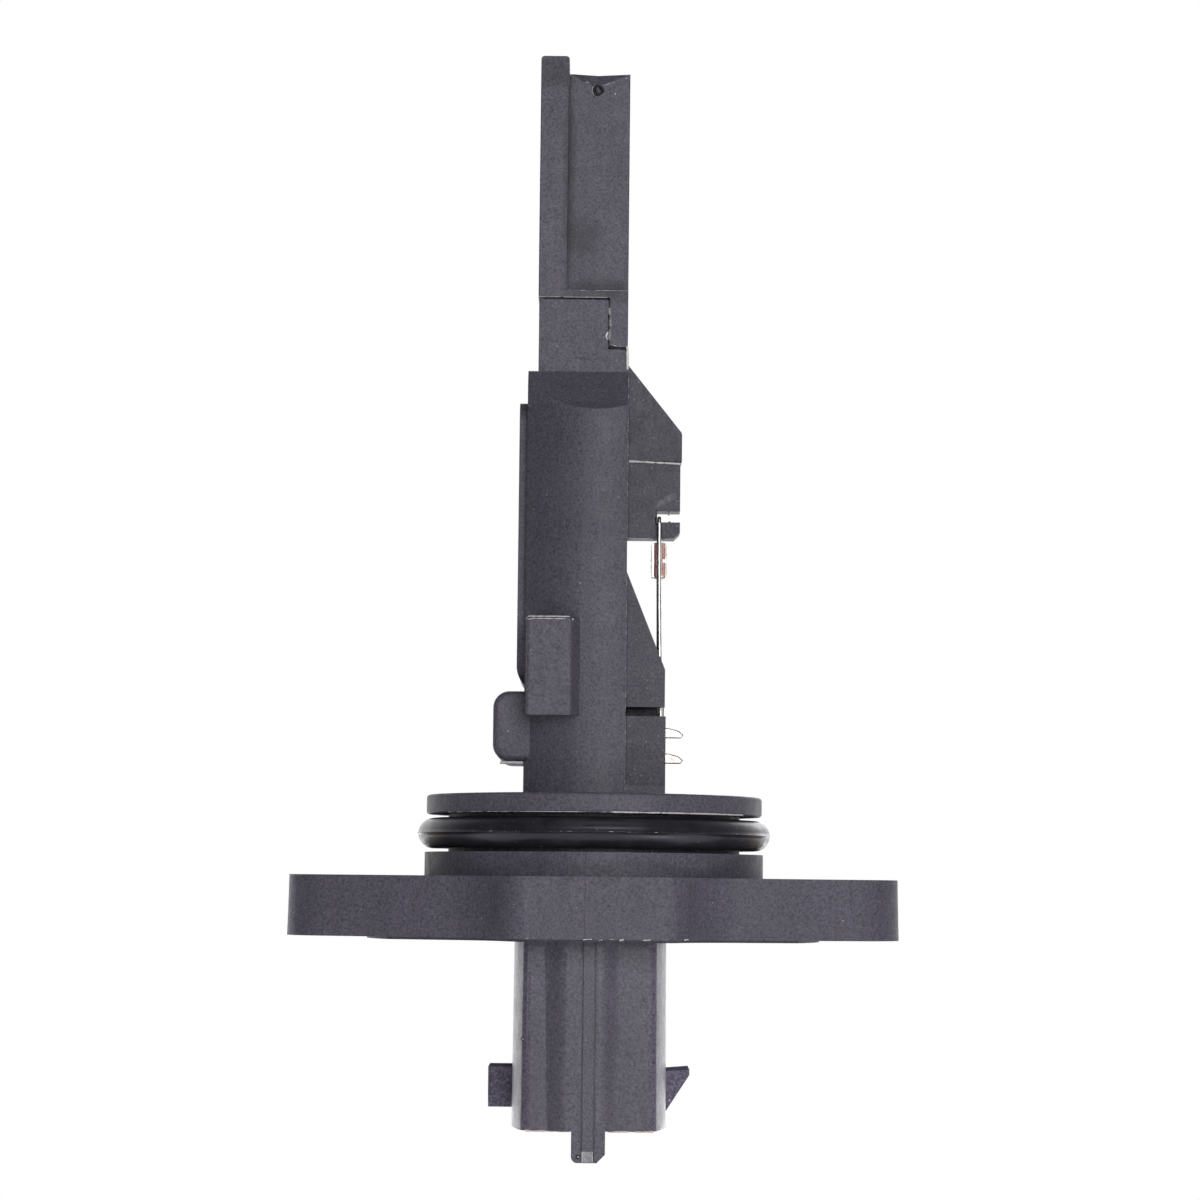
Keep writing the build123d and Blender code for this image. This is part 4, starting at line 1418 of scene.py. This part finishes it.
@dataclass
class BypassDuct:
    """Tip moulding with its side cover, glued joint, gate scar and the flash on its edges."""

    strip_left: float = -6.05
    strip_right: float = -3.22
    right: float = 2.85
    near: float = -7.2
    recess: float = -6.0
    low: float = 57.17
    foot_top: float = 57.87
    top: float = 79.95
    gate: Point = (-0.35, -6.0, 78.3)
    gate_radius: float = 0.47
    lap: float = 0.84
    lap_floor: float = 52.0
    joint_gap: float = 0.12
    fill_depth: float = 6.8
    fill_rows: int = 48
    stub_radius: float = 0.24
    upright: Pairs = ((0.10, 56.1), (0.24, 55.3), (0.27, 54.4), (0.20, 53.6), (0.12, 52.9))
    blob: Pairs = ((0.02, 53.75), (-0.16, 53.35), (-0.04, 52.95))
    wiped: Pairs = ((-0.15, 53.3), (-0.55, 53.15), (-0.85, 53.2))
    shelf_middle: float = 1.9
    edge_glue: tuple[float, float] = (51.0, 50.0)

    def dress(self, plastic: Material) -> None:
        """Give the moulding and its side cover their finish."""
        dress("bypass_duct", plastic)
        dress("duct_side_cover", plastic)

    def edge_flash(self, recipe: TraceRecipe, chipped: Material, torn_and_shade: Material) -> None:
        """Lay the broken pale flash on the tip facet and the joint, a broken pale line on the foot, and the
        painted shade under the joint.

        Args:
            recipe: Tree for uneven beads.
            chipped: Finish of whitened plastic.
            torn_and_shade: Finish of ripped plastic and of the painted shade under the joint.
        """
        x, _, z = self.gate
        right_end, near, low = self.right, self.near, self.low
        foot = [(self.strip_right, near, self.foot_top), (right_end - 0.1, near, self.foot_top)]
        left = [(self.strip_right + 1.0, self.recess, self.top - 0.5), (x - 0.5, self.recess, z + 0.55)]
        right = [(x + 0.6, self.recess, z + 0.55), (right_end - 0.2, self.recess, self.top - 0.3)]
        joint = [(self.strip_left + 0.05, near, low + 0.02), (self.lap - 0.05, near, low + 0.02)]
        below = [(self.strip_left + 0.5, near, low - 0.14), (self.lap, near, low - 0.17)]
        plastic = "duct_plastic"
        lay(recipe, (
            # A broken pale line along the foot's front edge.
            (Trace("foot_pale_line", foot, 0.045, 0.50, 0.08, 4.0, slot=plastic), chipped),
            (Trace("tip_flash_left", left, 0.055, 0.42, 0.30, 6.0, 0.06, slot=plastic), chipped),
            (Trace("tip_tear_left", left, 0.05, 0.62, 0.22, 7.0, 0.06, slot=plastic), torn_and_shade),
            (Trace("tip_flash_right", right, 0.055, 0.50, 0.24, 8.0, 0.06, slot=plastic), chipped),
            (Trace("joint_flash", joint, 0.05, 0.85, 0.04, 9.0, slot=plastic), chipped),
            # Painted shade: a black ragged bead in the joint's gap, under the pale flash.
            (Trace("joint_gap_shade", below, 0.085, 1.0, 0.07, 10.0, 0.08, slot=plastic), torn_and_shade),
        ))

    def gate_scar(self, recipe: TraceRecipe, plastic: Material, chipped: Material,
                  torn_and_shade: Material) -> None:
        """Build the broken-off gate: a ragged rim, pale at its left, round a broken stub.

        Args:
            recipe: Tree for uneven beads.
            plastic: Finish of the duct.
            chipped: Finish of whitened plastic.
            torn_and_shade: Finish of ripped plastic.
        """
        x, y, z = self.gate
        rim = arc_points(self.gate, self.gate_radius, 0, 360, Facing.NEAR, 12)
        crescent = arc_points((x, y - 0.08, z), self.gate_radius + 0.15, 140, 225, Facing.NEAR, 12)
        fleck = [(x + 1.6, y, z - 0.32), (x + 1.78, y, z - 0.34)]
        tail = [(x - 0.35, y, z - 0.65), (x - 0.65, y, z - 1.15)]
        lay(recipe, (
            (Trace("gate_rim", rim, 0.135, 0.95, 0.32, 12.0, 0.08, slot="duct_plastic"), torn_and_shade),
            (Trace("gate_crescent", crescent, 0.055, 0.95, 0.10, 13.0, 0.06, slot="duct_plastic"), chipped),
            (Trace("gate_fleck", fleck, 0.10, 1.0, 0.05, 14.0, 0.05, slot="duct_plastic"), chipped),
            (Trace("gate_tail", tail, 0.04, 0.8, 0.20, 15.0, 0.06, slot="duct_plastic"), torn_and_shade),
        ))
        body = bmesh.new()
        bmesh.ops.create_icosphere(body, subdivisions=3, radius=self.stub_radius * MM)
        for vertex in body.verts:
            place = vertex.co / MM
            ragged = 1 + 0.5 * noise.noise(place * 5.0)
            stretch = Vector((place.x, place.y * 0.8, place.z * 1.3)) * ragged
            vertex.co = (Vector(self.gate) + stretch) * MM
        enlist("gate_stub", finished(body, "gate_stub", plastic))

    def joint_fill(self, adhesive: Material) -> Piece:
        """Fill the upright gap of the joint with a sheet of glue that has a ragged near edge.

        Args:
            adhesive: Finish of the glue.

        Returns:
            The piece.
        """
        body = bmesh.new()
        rows, columns = self.fill_rows, (0.0, 0.5, 1.0)
        low, high = self.lap_floor + 0.1, self.low - 0.1
        sheets = []
        for face in (self.lap + 0.005, self.lap + self.joint_gap - 0.005):
            sheet = []
            for row in range(rows + 1):
                z = low + (high - low) * row / rows
                edge = self.near + 0.55 + 0.5 * noise.noise(Vector((face, 0.0, z)) * 1.3)
                places = [Vector((face, edge + share * self.fill_depth, z)) for share in columns]
                sheet.append([body.verts.new(place * MM) for place in places])
            sheets.append(sheet)
        for sheet in sheets:
            for here, there in zip(sheet, sheet[1:]):
                for column in range(len(columns) - 1):
                    body.faces.new((here[column], there[column], there[column + 1], here[column + 1]))
        first, second = sheets
        rims = [([line[end] for line in first], [line[end] for line in second]) for end in (0, -1)]
        rims += [(first[end], second[end]) for end in (0, -1)]
        for here, there in rims:
            for step in range(len(here) - 1):
                body.faces.new((here[step], here[step + 1], there[step + 1], there[step]))
        bmesh.ops.recalc_face_normals(body, faces=body.faces)
        piece = enlist("joint_fill", finished(body, "joint_fill", adhesive))
        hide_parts("joint_adhesive")
        return piece

    def squeezed_glue(self, recipe: TraceRecipe, adhesive: Material, smear: Material,
                      torn_and_shade: Material) -> None:
        """Lay the glue that was squeezed out of the joint, thick and thin, and below it the ripped lip,
        which also paints shade into the joint's gap.

        Args:
            recipe: Tree for uneven beads.
            adhesive: Finish of the glue.
            smear: Finish of glue that was wiped thin.
            torn_and_shade: Finish of ripped plastic and of the painted shade in the gap.
        """
        x, y, floor, right = self.lap, self.near, self.lap_floor, self.right
        paths = (self.upright, self.blob, self.wiped)
        upright, blob, wiped = [[(x + off, y, z) for off, z in path] for path in paths]
        lip = [(x + 0.1, y + 0.05, floor + 0.24), (self.shelf_middle, y + 0.05, floor + 0.12),
               (right, y + 0.05, floor + 0.08)]
        shelf = [(x + 0.1, y, floor + 0.44), (self.shelf_middle, y, floor + 0.32), (right, y, floor + 0.26)]
        edge = [(right - 0.08, y - 0.03, floor + 0.3)]
        edge += [(right - 0.04, y - 0.03, z) for z in self.edge_glue]
        lay(recipe, (
            (Trace("glue_upright", upright, 0.17, 0.85, 0.12, 21.0, 0.06, 8, "adhesive"), smear),
            (Trace("glue_blob", blob, 0.10, 0.90, 0.16, 22.0, 0.06, 8, "adhesive"), adhesive),
            (Trace("glue_wiped", wiped, 0.05, 0.8, 0.12, 25.0, 0.06, 8, "adhesive"), smear),
            # A dark ragged lip along the glue shelf: a torn edge, and painted shade in the gap behind it.
            (Trace("joint_torn_lip_and_shade", lip, 0.19, 0.95, 0.14, 26.0, 0.07, 8, "duct_plastic"), torn_and_shade),
            (Trace("glue_shelf", shelf, 0.045, 0.50, 0.12, 23.0, 0.06, 8, "adhesive"), adhesive),
            (Trace("glue_edge", edge, 0.14, 1.0, 0.07, 24.0, 0.07, 8, "adhesive"), adhesive),
        ))


@dataclass
class ThermistorBead:
    """Glass bead on two leads, its slugs and chip, and the posts that the leads are welded to."""

    post_front: tuple[Point, Point] = ((6.49, -5.5, 14.15), (6.31, -4.32, 11.7))
    nugget: Point = (0.30, 0.17, 0.34)

    def dress(self, wire: Material, tin: Material) -> None:
        """Give bead, leads and posts their finishes.

        Args:
            wire: Finish of the leads.
            tin: Finish of the posts.
        """
        dress("thermistor_glass", ClearGlass().build())
        slug = CopperSlug().build()
        dress("thermistor_chip", PlainCeramic("thermistor_ceramic", (0.55, 0.52, 0.48)).build())
        for level in ("upper", "lower"):
            dress(f"thermistor_slug_{level}", slug)
            dress(f"{level}_lead_post", tin)
        for lead in ("hooked_lead", "straight_lead"):
            dress(lead, wire)

    def nuggets(self, tin: Material) -> None:
        """Melt each lead's end into a weld nugget on its post.

        Args:
            tin: Finish of the weld.
        """
        for name, centre in zip(("upper_weld_nugget", "lower_weld_nugget"), self.post_front):
            body = bmesh.new()
            bmesh.ops.create_icosphere(body, subdivisions=3, radius=1.0)
            for vertex in body.verts:
                swell = 1 + 0.22 * noise.noise(vertex.co * 1.7 + Vector(centre))
                stretch = Vector(part * reach * swell for part, reach in zip(vertex.co, self.nugget))
                vertex.co = (Vector(centre) + stretch) * MM
            enlist(name, finished(body, name, tin))


@dataclass
class Electronics:
    """Cover, base plate and board in the pocket, with their chips, bonds, prongs and elements."""

    prongs: int = 4

    def dress(self, plastic: Material, tin: Material) -> None:
        """Give the pocket's pieces their finishes.

        Args:
            plastic: Finish of the cover.
            tin: Finish of the prongs.
        """
        dress("electronics_cover", plastic)
        aluminium = TinnedMetal("plate_aluminium", colour=(0.78, 0.78, 0.79), roughness=0.35).build()
        for node in ("base_plate", "terminal_bond_ribbons", "prong_bond_ribbons"):
            dress(node, aluminium)
        dress("circuit_board", PlainCeramic("board_ceramic", (0.80, 0.79, 0.74)).build())
        dress("control_chip", PlainCeramic("chip_plastic", (0.03, 0.03, 0.03)).build())
        dress("drive_transistor", PlainCeramic("transistor_plastic", (0.03, 0.03, 0.03)).build())
        dress("chip_capacitors", PlainCeramic("capacitor_ceramic", (0.42, 0.28, 0.16)).build())
        glaze = PlainCeramic("element_glaze", (0.42, 0.45, 0.46), 0.2).build()
        dress("heating_element", glaze)
        dress("reference_element", glaze)
        for index in range(1, self.prongs + 1):
            dress(f"sensing_prong_{index}", tin)


@dataclass
class Connector:
    """Blades of the connector, the painted light on the sloped end of the shell's rib and the traces on the
    shell.
    """

    terminals: int = 5
    rib_left: float = -0.80
    rib_right: float = 0.16
    rib_low: float = -26.88
    rib_high: float = -25.86
    key_front: float = -14.93
    mouth: float = -24.1
    shell_front: float = -14.1
    lip_ends: Pairs = ((-6.2, -1.95), (1.6, 5.9))
    catch_fleck: Point = (7.60, -3.52, -21.73)
    pits: tuple[tuple[float, float, float, float], ...] = (
        (-1.20, -14.95, -26.37, 0.16),
        (-6.55, -13.92, -15.42, 0.15),
    )
    thickness: float = 0.05

    def rib_end_painted_light(self, recipe: TraceRecipe, painted_facet_light: Material, painted_highlight: Material) -> None:
        """Build the painted light on the rib's sloped end: a pale facet with painted highlights on its
        edges.

        Args:
            recipe: Tree for uneven beads.
            painted_facet_light: Finish of the pale facet, painted light.
            painted_highlight: Finish of the painted highlights on its edges.
        """
        y, thick = self.key_front, self.thickness
        body = bmesh.new()
        ring = []
        for height, near in ((self.rib_low, y - 0.2 * thick), (self.rib_high, y - thick)):
            corners = ((self.rib_left, near), (self.rib_right, near),
                       (self.rib_right, y + thick), (self.rib_left, y + thick))
            for x, depth in corners:
                ring.append(body.verts.new(Vector((x, depth, height)) * MM))
        for corners in ((0, 1, 5, 4), (1, 2, 6, 5), (2, 3, 7, 6), (3, 0, 4, 7), (3, 2, 1, 0), (4, 5, 6, 7)):
            body.faces.new([ring[corner] for corner in corners])
        bmesh.ops.bevel(body, geom=list(body.edges), offset=0.015 * MM, segments=2, affect="EDGES")
        bmesh.ops.recalc_face_normals(body, faces=body.faces)
        enlist("rib_end_painted_light", finished(body, "rib_end_painted_light", painted_facet_light), smooth=False)
        for side, x in (("left", self.rib_left), ("right", self.rib_right)):
            points = [(x, y - 0.2 * thick, self.rib_low), (x, y - thick, self.rib_high)]
            Trace(f"rib_end_edge_{side}", points, 0.06, 0.9, 0.03, x, 0.06).build(recipe, painted_highlight)

    def shell_traces(self, recipe: TraceRecipe, lip_reflection: Material, dust: Material,
                     torn_and_shade: Material) -> None:
        """Lay the painted reflection along the shell's lip, a fleck on the catch and two small pits with a
        bright middle.

        Args:
            recipe: Tree for uneven beads.
            lip_reflection: Finish of the lip's painted reflection.
            dust: Finish of the flecks.
            torn_and_shade: Finish of ripped plastic.
        """
        # Painted reflection of the floor along the lower edge of the shell's mouth.
        y, z = self.shell_front + 0.02, self.mouth + 0.10
        for index, (start, end) in enumerate(self.lip_ends):
            points = [(start, y, z), (end, y, z)]
            Trace(f"shell_lip_{index + 1}", points, 0.13, 1.0, 0.05, 61.0 + index, 0.10).build(recipe, lip_reflection)
        x, y, z = self.catch_fleck
        fleck = [(x, y, z), (x + 0.12, y, z + 0.05)]
        Trace("catch_fleck", fleck, 0.12, 1.0, 0.04, 63.0, 0.04).build(recipe, dust)
        for index, (x, y, z, radius) in enumerate(self.pits):
            ring = arc_points((x, y, z), radius, 20, 300, Facing.NEAR, 20)
            speck = [(x - 0.03, y, z), (x + 0.4 * radius, y, z + 0.02)]
            lay(recipe, (
                (Trace(f"shell_pit_{index + 1}", ring, 0.3 * radius, 1.0, 0.06, 64.0, 0.05), torn_and_shade),
                (Trace(f"shell_pit_fleck_{index + 1}", speck, 0.42 * radius, 1.0, 0.03, 65.0, 0.03), dust),
            ))

    def dress(self, tin: Material) -> None:
        """Give the blades their finish."""
        for index in range(1, self.terminals + 1):
            dress(f"connector_terminal_{index}", tin)


@dataclass
class EjectorMarks:
    """Faint rings that the mould's ejector pins leave on a face across the X axis."""

    name: str
    face: float
    centres: Pairs
    radius: float
    slot: str
    finish: Material

    def build(self, recipe: TraceRecipe) -> None:
        """Lay the rings.

        Args:
            recipe: Tree for uneven beads.
        """
        for index, (y, z) in enumerate(self.centres):
            ring = arc_points((self.face, y, z), self.radius, 0, 360, Facing.SIDE, 8)
            mark = Trace(f"{self.name}_{index + 1}", ring, 0.03, 1.0, 0.02, 50.0 + index, slot=self.slot)
            mark.build(recipe, self.finish)


@dataclass
class Dust:
    """Pale grains strewn over the outside of a piece."""

    name: str
    node: str
    density: float
    size: float
    seed: int
    low: float = -40.0
    slot: str = "housing_plastic"

    def build(self, recipe: FleckRecipe, material: Material) -> Piece:
        """Strew the grains over a copy of the node's surface.

        Args:
            recipe: Tree for strewn grains.
            material: Finish of the dust.

        Returns:
            The piece.
        """
        body = bmesh.new()
        body.from_mesh(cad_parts[self.node].data)
        bmesh.ops.remove_doubles(body, verts=body.verts, dist=1e-6)
        surface = bpy.data.meshes.new(self.name + "_surface")
        body.to_mesh(surface)
        body.free()
        values = {"Density": self.density / MM**2, "Size": self.size * MM, "Low": self.low * MM,
                  "Seed": self.seed, "Material": material}
        return enlist(self.name, recipe.bake(surface, self.name, values))


@dataclass
class StudioLamp:
    """Soft rectangular lamp that looks at the sensor."""

    name: str
    azimuth: float
    elevation: float
    distance: float
    width: float
    height: float
    power: float
    colour: Colour = (1.0, 1.0, 1.0)

    def build(self, target: Vector) -> Piece:
        """Hang the lamp.

        Args:
            target: Point that it is turned to.

        Returns:
            The lamp.
        """
        turn, rise = math.radians(self.azimuth), math.radians(self.elevation)
        away = Vector((math.sin(turn) * math.cos(rise), -math.cos(turn) * math.cos(rise), math.sin(rise)))
        data = bpy.data.lights.new(self.name, "AREA")
        data.shape = "RECTANGLE"
        data.size = self.width
        data.size_y = self.height
        data.energy = self.power
        data.color = self.colour
        lamp = bpy.data.objects.new(self.name, data)
        lamp.location = target + away * self.distance
        lamp.rotation_euler = (-away).to_track_quat("-Z", "Y").to_euler()
        lamp.visible_camera = False
        bpy.context.scene.collection.objects.link(lamp)
        log.info("hung lamp %s", self.name)
        return lamp


@dataclass
class Studio:
    """Floor, white surroundings, lamps and the camera of the photograph."""

    floor_height: float = -170.0
    floor_reach: float = 6.0
    lamp_target: Point = (0.0, 0.0, 20.0)
    ambient: float = 0.06
    gloss_front: float = 0.06
    gloss_back: float = 1.0
    gloss_start: float = 0.15
    gloss_end: float = 0.95
    camera_place: Point = (0.35, -330.0, -0.8)
    camera_pitch: float = 4.944
    camera_roll: float = 0.6
    lens: float = 99.0
    lamps: list[StudioLamp] = field(default_factory=lambda: [
        StudioLamp("key_lamp", 10.0, 14.0, 0.45, 0.22, 0.26, 1.00),
        StudioLamp("low_right_lamp", 45.0, -27.0, 0.32, 0.13, 0.045, 0.13),
        StudioLamp("low_left_lamp", -75.0, -27.0, 0.32, 0.10, 0.04, 0.03),
        StudioLamp("top_lamp", 10.0, 70.0, 0.70, 0.40, 0.30, 0.32),
        StudioLamp("back_lamp", 165.0, 25.0, 0.80, 0.50, 0.40, 1.4),
        StudioLamp("left_rim_lamp", -152.0, 2.0, 0.60, 0.46, 0.44, 0.60),
        StudioLamp("right_rim_lamp", 152.0, 2.0, 0.60, 0.46, 0.44, 0.60),
        StudioLamp("under_lamp", 180.0, -16.0, 0.50, 0.50, 0.12, 0.45),
    ])

    def floor(self) -> Piece:
        """Lay the floor.

        Returns:
            The floor.
        """
        body = bmesh.new()
        reach = self.floor_reach
        corners = [(-reach, -reach), (reach, -reach), (reach, reach), (-reach, reach)]
        body.faces.new([body.verts.new((x, y, self.floor_height * MM)) for x, y in corners])
        floor = bpy.data.objects.new("floor", finished(body, "floor", StudioFloor().build()))
        bpy.context.scene.collection.objects.link(floor)
        return floor

    def surroundings(self) -> None:
        """Set white surroundings for camera, gloss and glass, and a softer light for matt faces."""
        world = bpy.data.worlds.new("studio")
        bpy.context.scene.world = world
        world.use_nodes = True
        tree = world.node_tree
        tree.nodes.clear()
        output = tree.nodes.new("ShaderNodeOutputWorld")
        rays = tree.nodes.new("ShaderNodeLightPath")
        soft = tree.nodes.new("ShaderNodeBackground")
        soft.inputs["Strength"].default_value = self.ambient
        white = tree.nodes.new("ShaderNodeBackground")
        white.inputs["Strength"].default_value = 1.0
        gloss = tree.nodes.new("ShaderNodeBackground")
        for part in (soft, white, gloss):
            part.inputs["Color"].default_value = (1.0, 1.0, 1.0, 1.0)
        place = tree.nodes.new("ShaderNodeTexCoord")
        split = tree.nodes.new("ShaderNodeSeparateXYZ")
        tree.links.new(place.outputs["Generated"], split.inputs[0])
        ramp = tree.nodes.new("ShaderNodeMapRange")
        ramp.inputs["From Min"].default_value = self.gloss_start
        ramp.inputs["From Max"].default_value = self.gloss_end
        ramp.inputs["To Min"].default_value = self.gloss_front
        ramp.inputs["To Max"].default_value = self.gloss_back
        tree.links.new(split.outputs["Y"], ramp.inputs["Value"])
        tree.links.new(ramp.outputs["Result"], gloss.inputs["Strength"])
        below = soft.outputs[0]
        layers = (("Is Glossy Ray", gloss), ("Is Transmission Ray", gloss), ("Is Camera Ray", white))
        for ray, above in layers:
            mixed = tree.nodes.new("ShaderNodeMixShader")
            tree.links.new(rays.outputs[ray], mixed.inputs["Fac"])
            tree.links.new(below, mixed.inputs[1])
            tree.links.new(above.outputs[0], mixed.inputs[2])
            below = mixed.outputs[0]
        tree.links.new(below, output.inputs["Surface"])

    def camera(self) -> Piece:
        """Set the camera where the photograph was taken from.

        Returns:
            The camera.
        """
        data = bpy.data.cameras.new("camera")
        data.lens = self.lens
        data.sensor_width = 36.0
        data.clip_start = 0.01
        data.clip_end = 20.0
        camera = bpy.data.objects.new("camera", data)
        camera.location = Vector(self.camera_place) * MM
        pitch, roll = math.radians(self.camera_pitch), math.radians(self.camera_roll)
        ahead = Vector((0.0, math.cos(pitch), math.sin(pitch)))
        tilt = Quaternion(Vector((0.0, 0.0, 1.0)), roll)
        camera.rotation_mode = "QUATERNION"
        camera.rotation_quaternion = ahead.to_track_quat("-Z", "Y") @ tilt
        bpy.context.scene.collection.objects.link(camera)
        bpy.context.scene.camera = camera
        return camera

    def build(self) -> None:
        """Set up the whole studio."""
        bpy.context.scene.view_settings.view_transform = "Standard"
        self.floor()
        self.surroundings()
        for lamp in self.lamps:
            lamp.build(Vector(self.lamp_target) * MM)
        self.camera()


def main() -> None:
    """Build the sensor's pieces, dress its nodes and set up the studio."""
    logging.basicConfig(level=logging.INFO, format="%(message)s")
    housing = HousingPlastic("housing_plastic").build()
    duct = MouldedPlastic("duct_plastic", dark_patches=DUCT_STAINS_AND_SHADE).build()
    cover = MouldedPlastic("cover_plastic").build()
    tin = TinnedMetal("terminal_metal").build()
    post = TinnedMetal("post_metal", (0.64, 0.60, 0.54), 0.36).build()
    wire = TinnedMetal("lead_wire", colour=(0.82, 0.81, 0.79), roughness=0.27).build()
    rubber = SealRubber().build()
    adhesive = CuredAdhesive().build()
    chipped = PaleTrace("chipped_plastic", (0.42, 0.41, 0.43)).build()
    dust = PaleTrace("dust", (0.66, 0.64, 0.62)).build()
    # Painted highlight: pale glossy finish for beads along edges that catch light.
    painted_highlight = PaleTrace("painted_highlight_finish", (0.62, 0.60, 0.62), 0.30, 0.3).build()
    # Painted light: pale finish for the rib's sloped end, which faces the light from below.
    painted_facet_light = PaleTrace("painted_facet_light_finish", (0.33, 0.32, 0.35), 0.35, 0.7).build()
    # Painted reflection: warm pale finish along the shell's lower lip.
    lip_reflection = PaleTrace("painted_lip_reflection", (0.74, 0.60, 0.54), 0.35, 0.3).build()
    # Near-black finish for ripped plastic, and for the painted shade in the joint's gaps.
    torn_and_shade = PaleTrace("torn_plastic_and_shade", (0.010, 0.009, 0.012), 0.75, 0.8).build()
    smear = PaleTrace("thin_glue", (0.27, 0.26, 0.28), 0.35, 0.6).build()
    traces = TraceRecipe()
    flecks = FleckRecipe()

    body = HousingBody()
    body.dress(housing)
    body.rims(housing)
    body.painted_edge_highlights(traces, painted_highlight)
    body.blade_flash(traces, chipped)
    body.parting_lines(traces, housing)
    body.scratch(traces, torn_and_shade)
    body.flange_grit(traces, dust)

    seal = SealRing()
    seal.build(rubber)
    seal.lint(traces, dust)

    tip = BypassDuct()
    tip.dress(duct)
    tip.edge_flash(traces, chipped, torn_and_shade)
    tip.gate_scar(traces, duct, chipped, torn_and_shade)
    tip.joint_fill(smear)
    tip.squeezed_glue(traces, adhesive, smear, torn_and_shade)

    bead = ThermistorBead()
    bead.dress(wire, post)
    bead.nuggets(post)
    Electronics().dress(cover, tin)
    plug = Connector()
    plug.dress(tin)
    plug.rib_end_painted_light(traces, painted_facet_light, painted_highlight)
    plug.shell_traces(traces, lip_reflection, dust, torn_and_shade)
    duct_marks = ((2.0, 62.5), (2.0, 75.5))
    cover_marks = ((0.0, 24.5), (0.0, 42.0))
    EjectorMarks("duct_ejector", -6.05, duct_marks, 1.4, "duct_plastic", duct).build(traces)
    EjectorMarks("cover_ejector", -7.75, cover_marks, 1.2, "cover_plastic", cover).build(traces)
    Dust("housing_dust", "main_housing", 0.045, 0.07, 5).build(flecks, dust)
    Dust("duct_dust", "bypass_duct", 0.030, 0.055, 7, slot="duct_plastic").build(flecks, dust)
    Dust("seal_dust", "seal_ring", 0.14, 0.055, 9, slot="seal_rubber").build(flecks, dust)

    Studio().build()


if __name__ == "__main__":
    main()
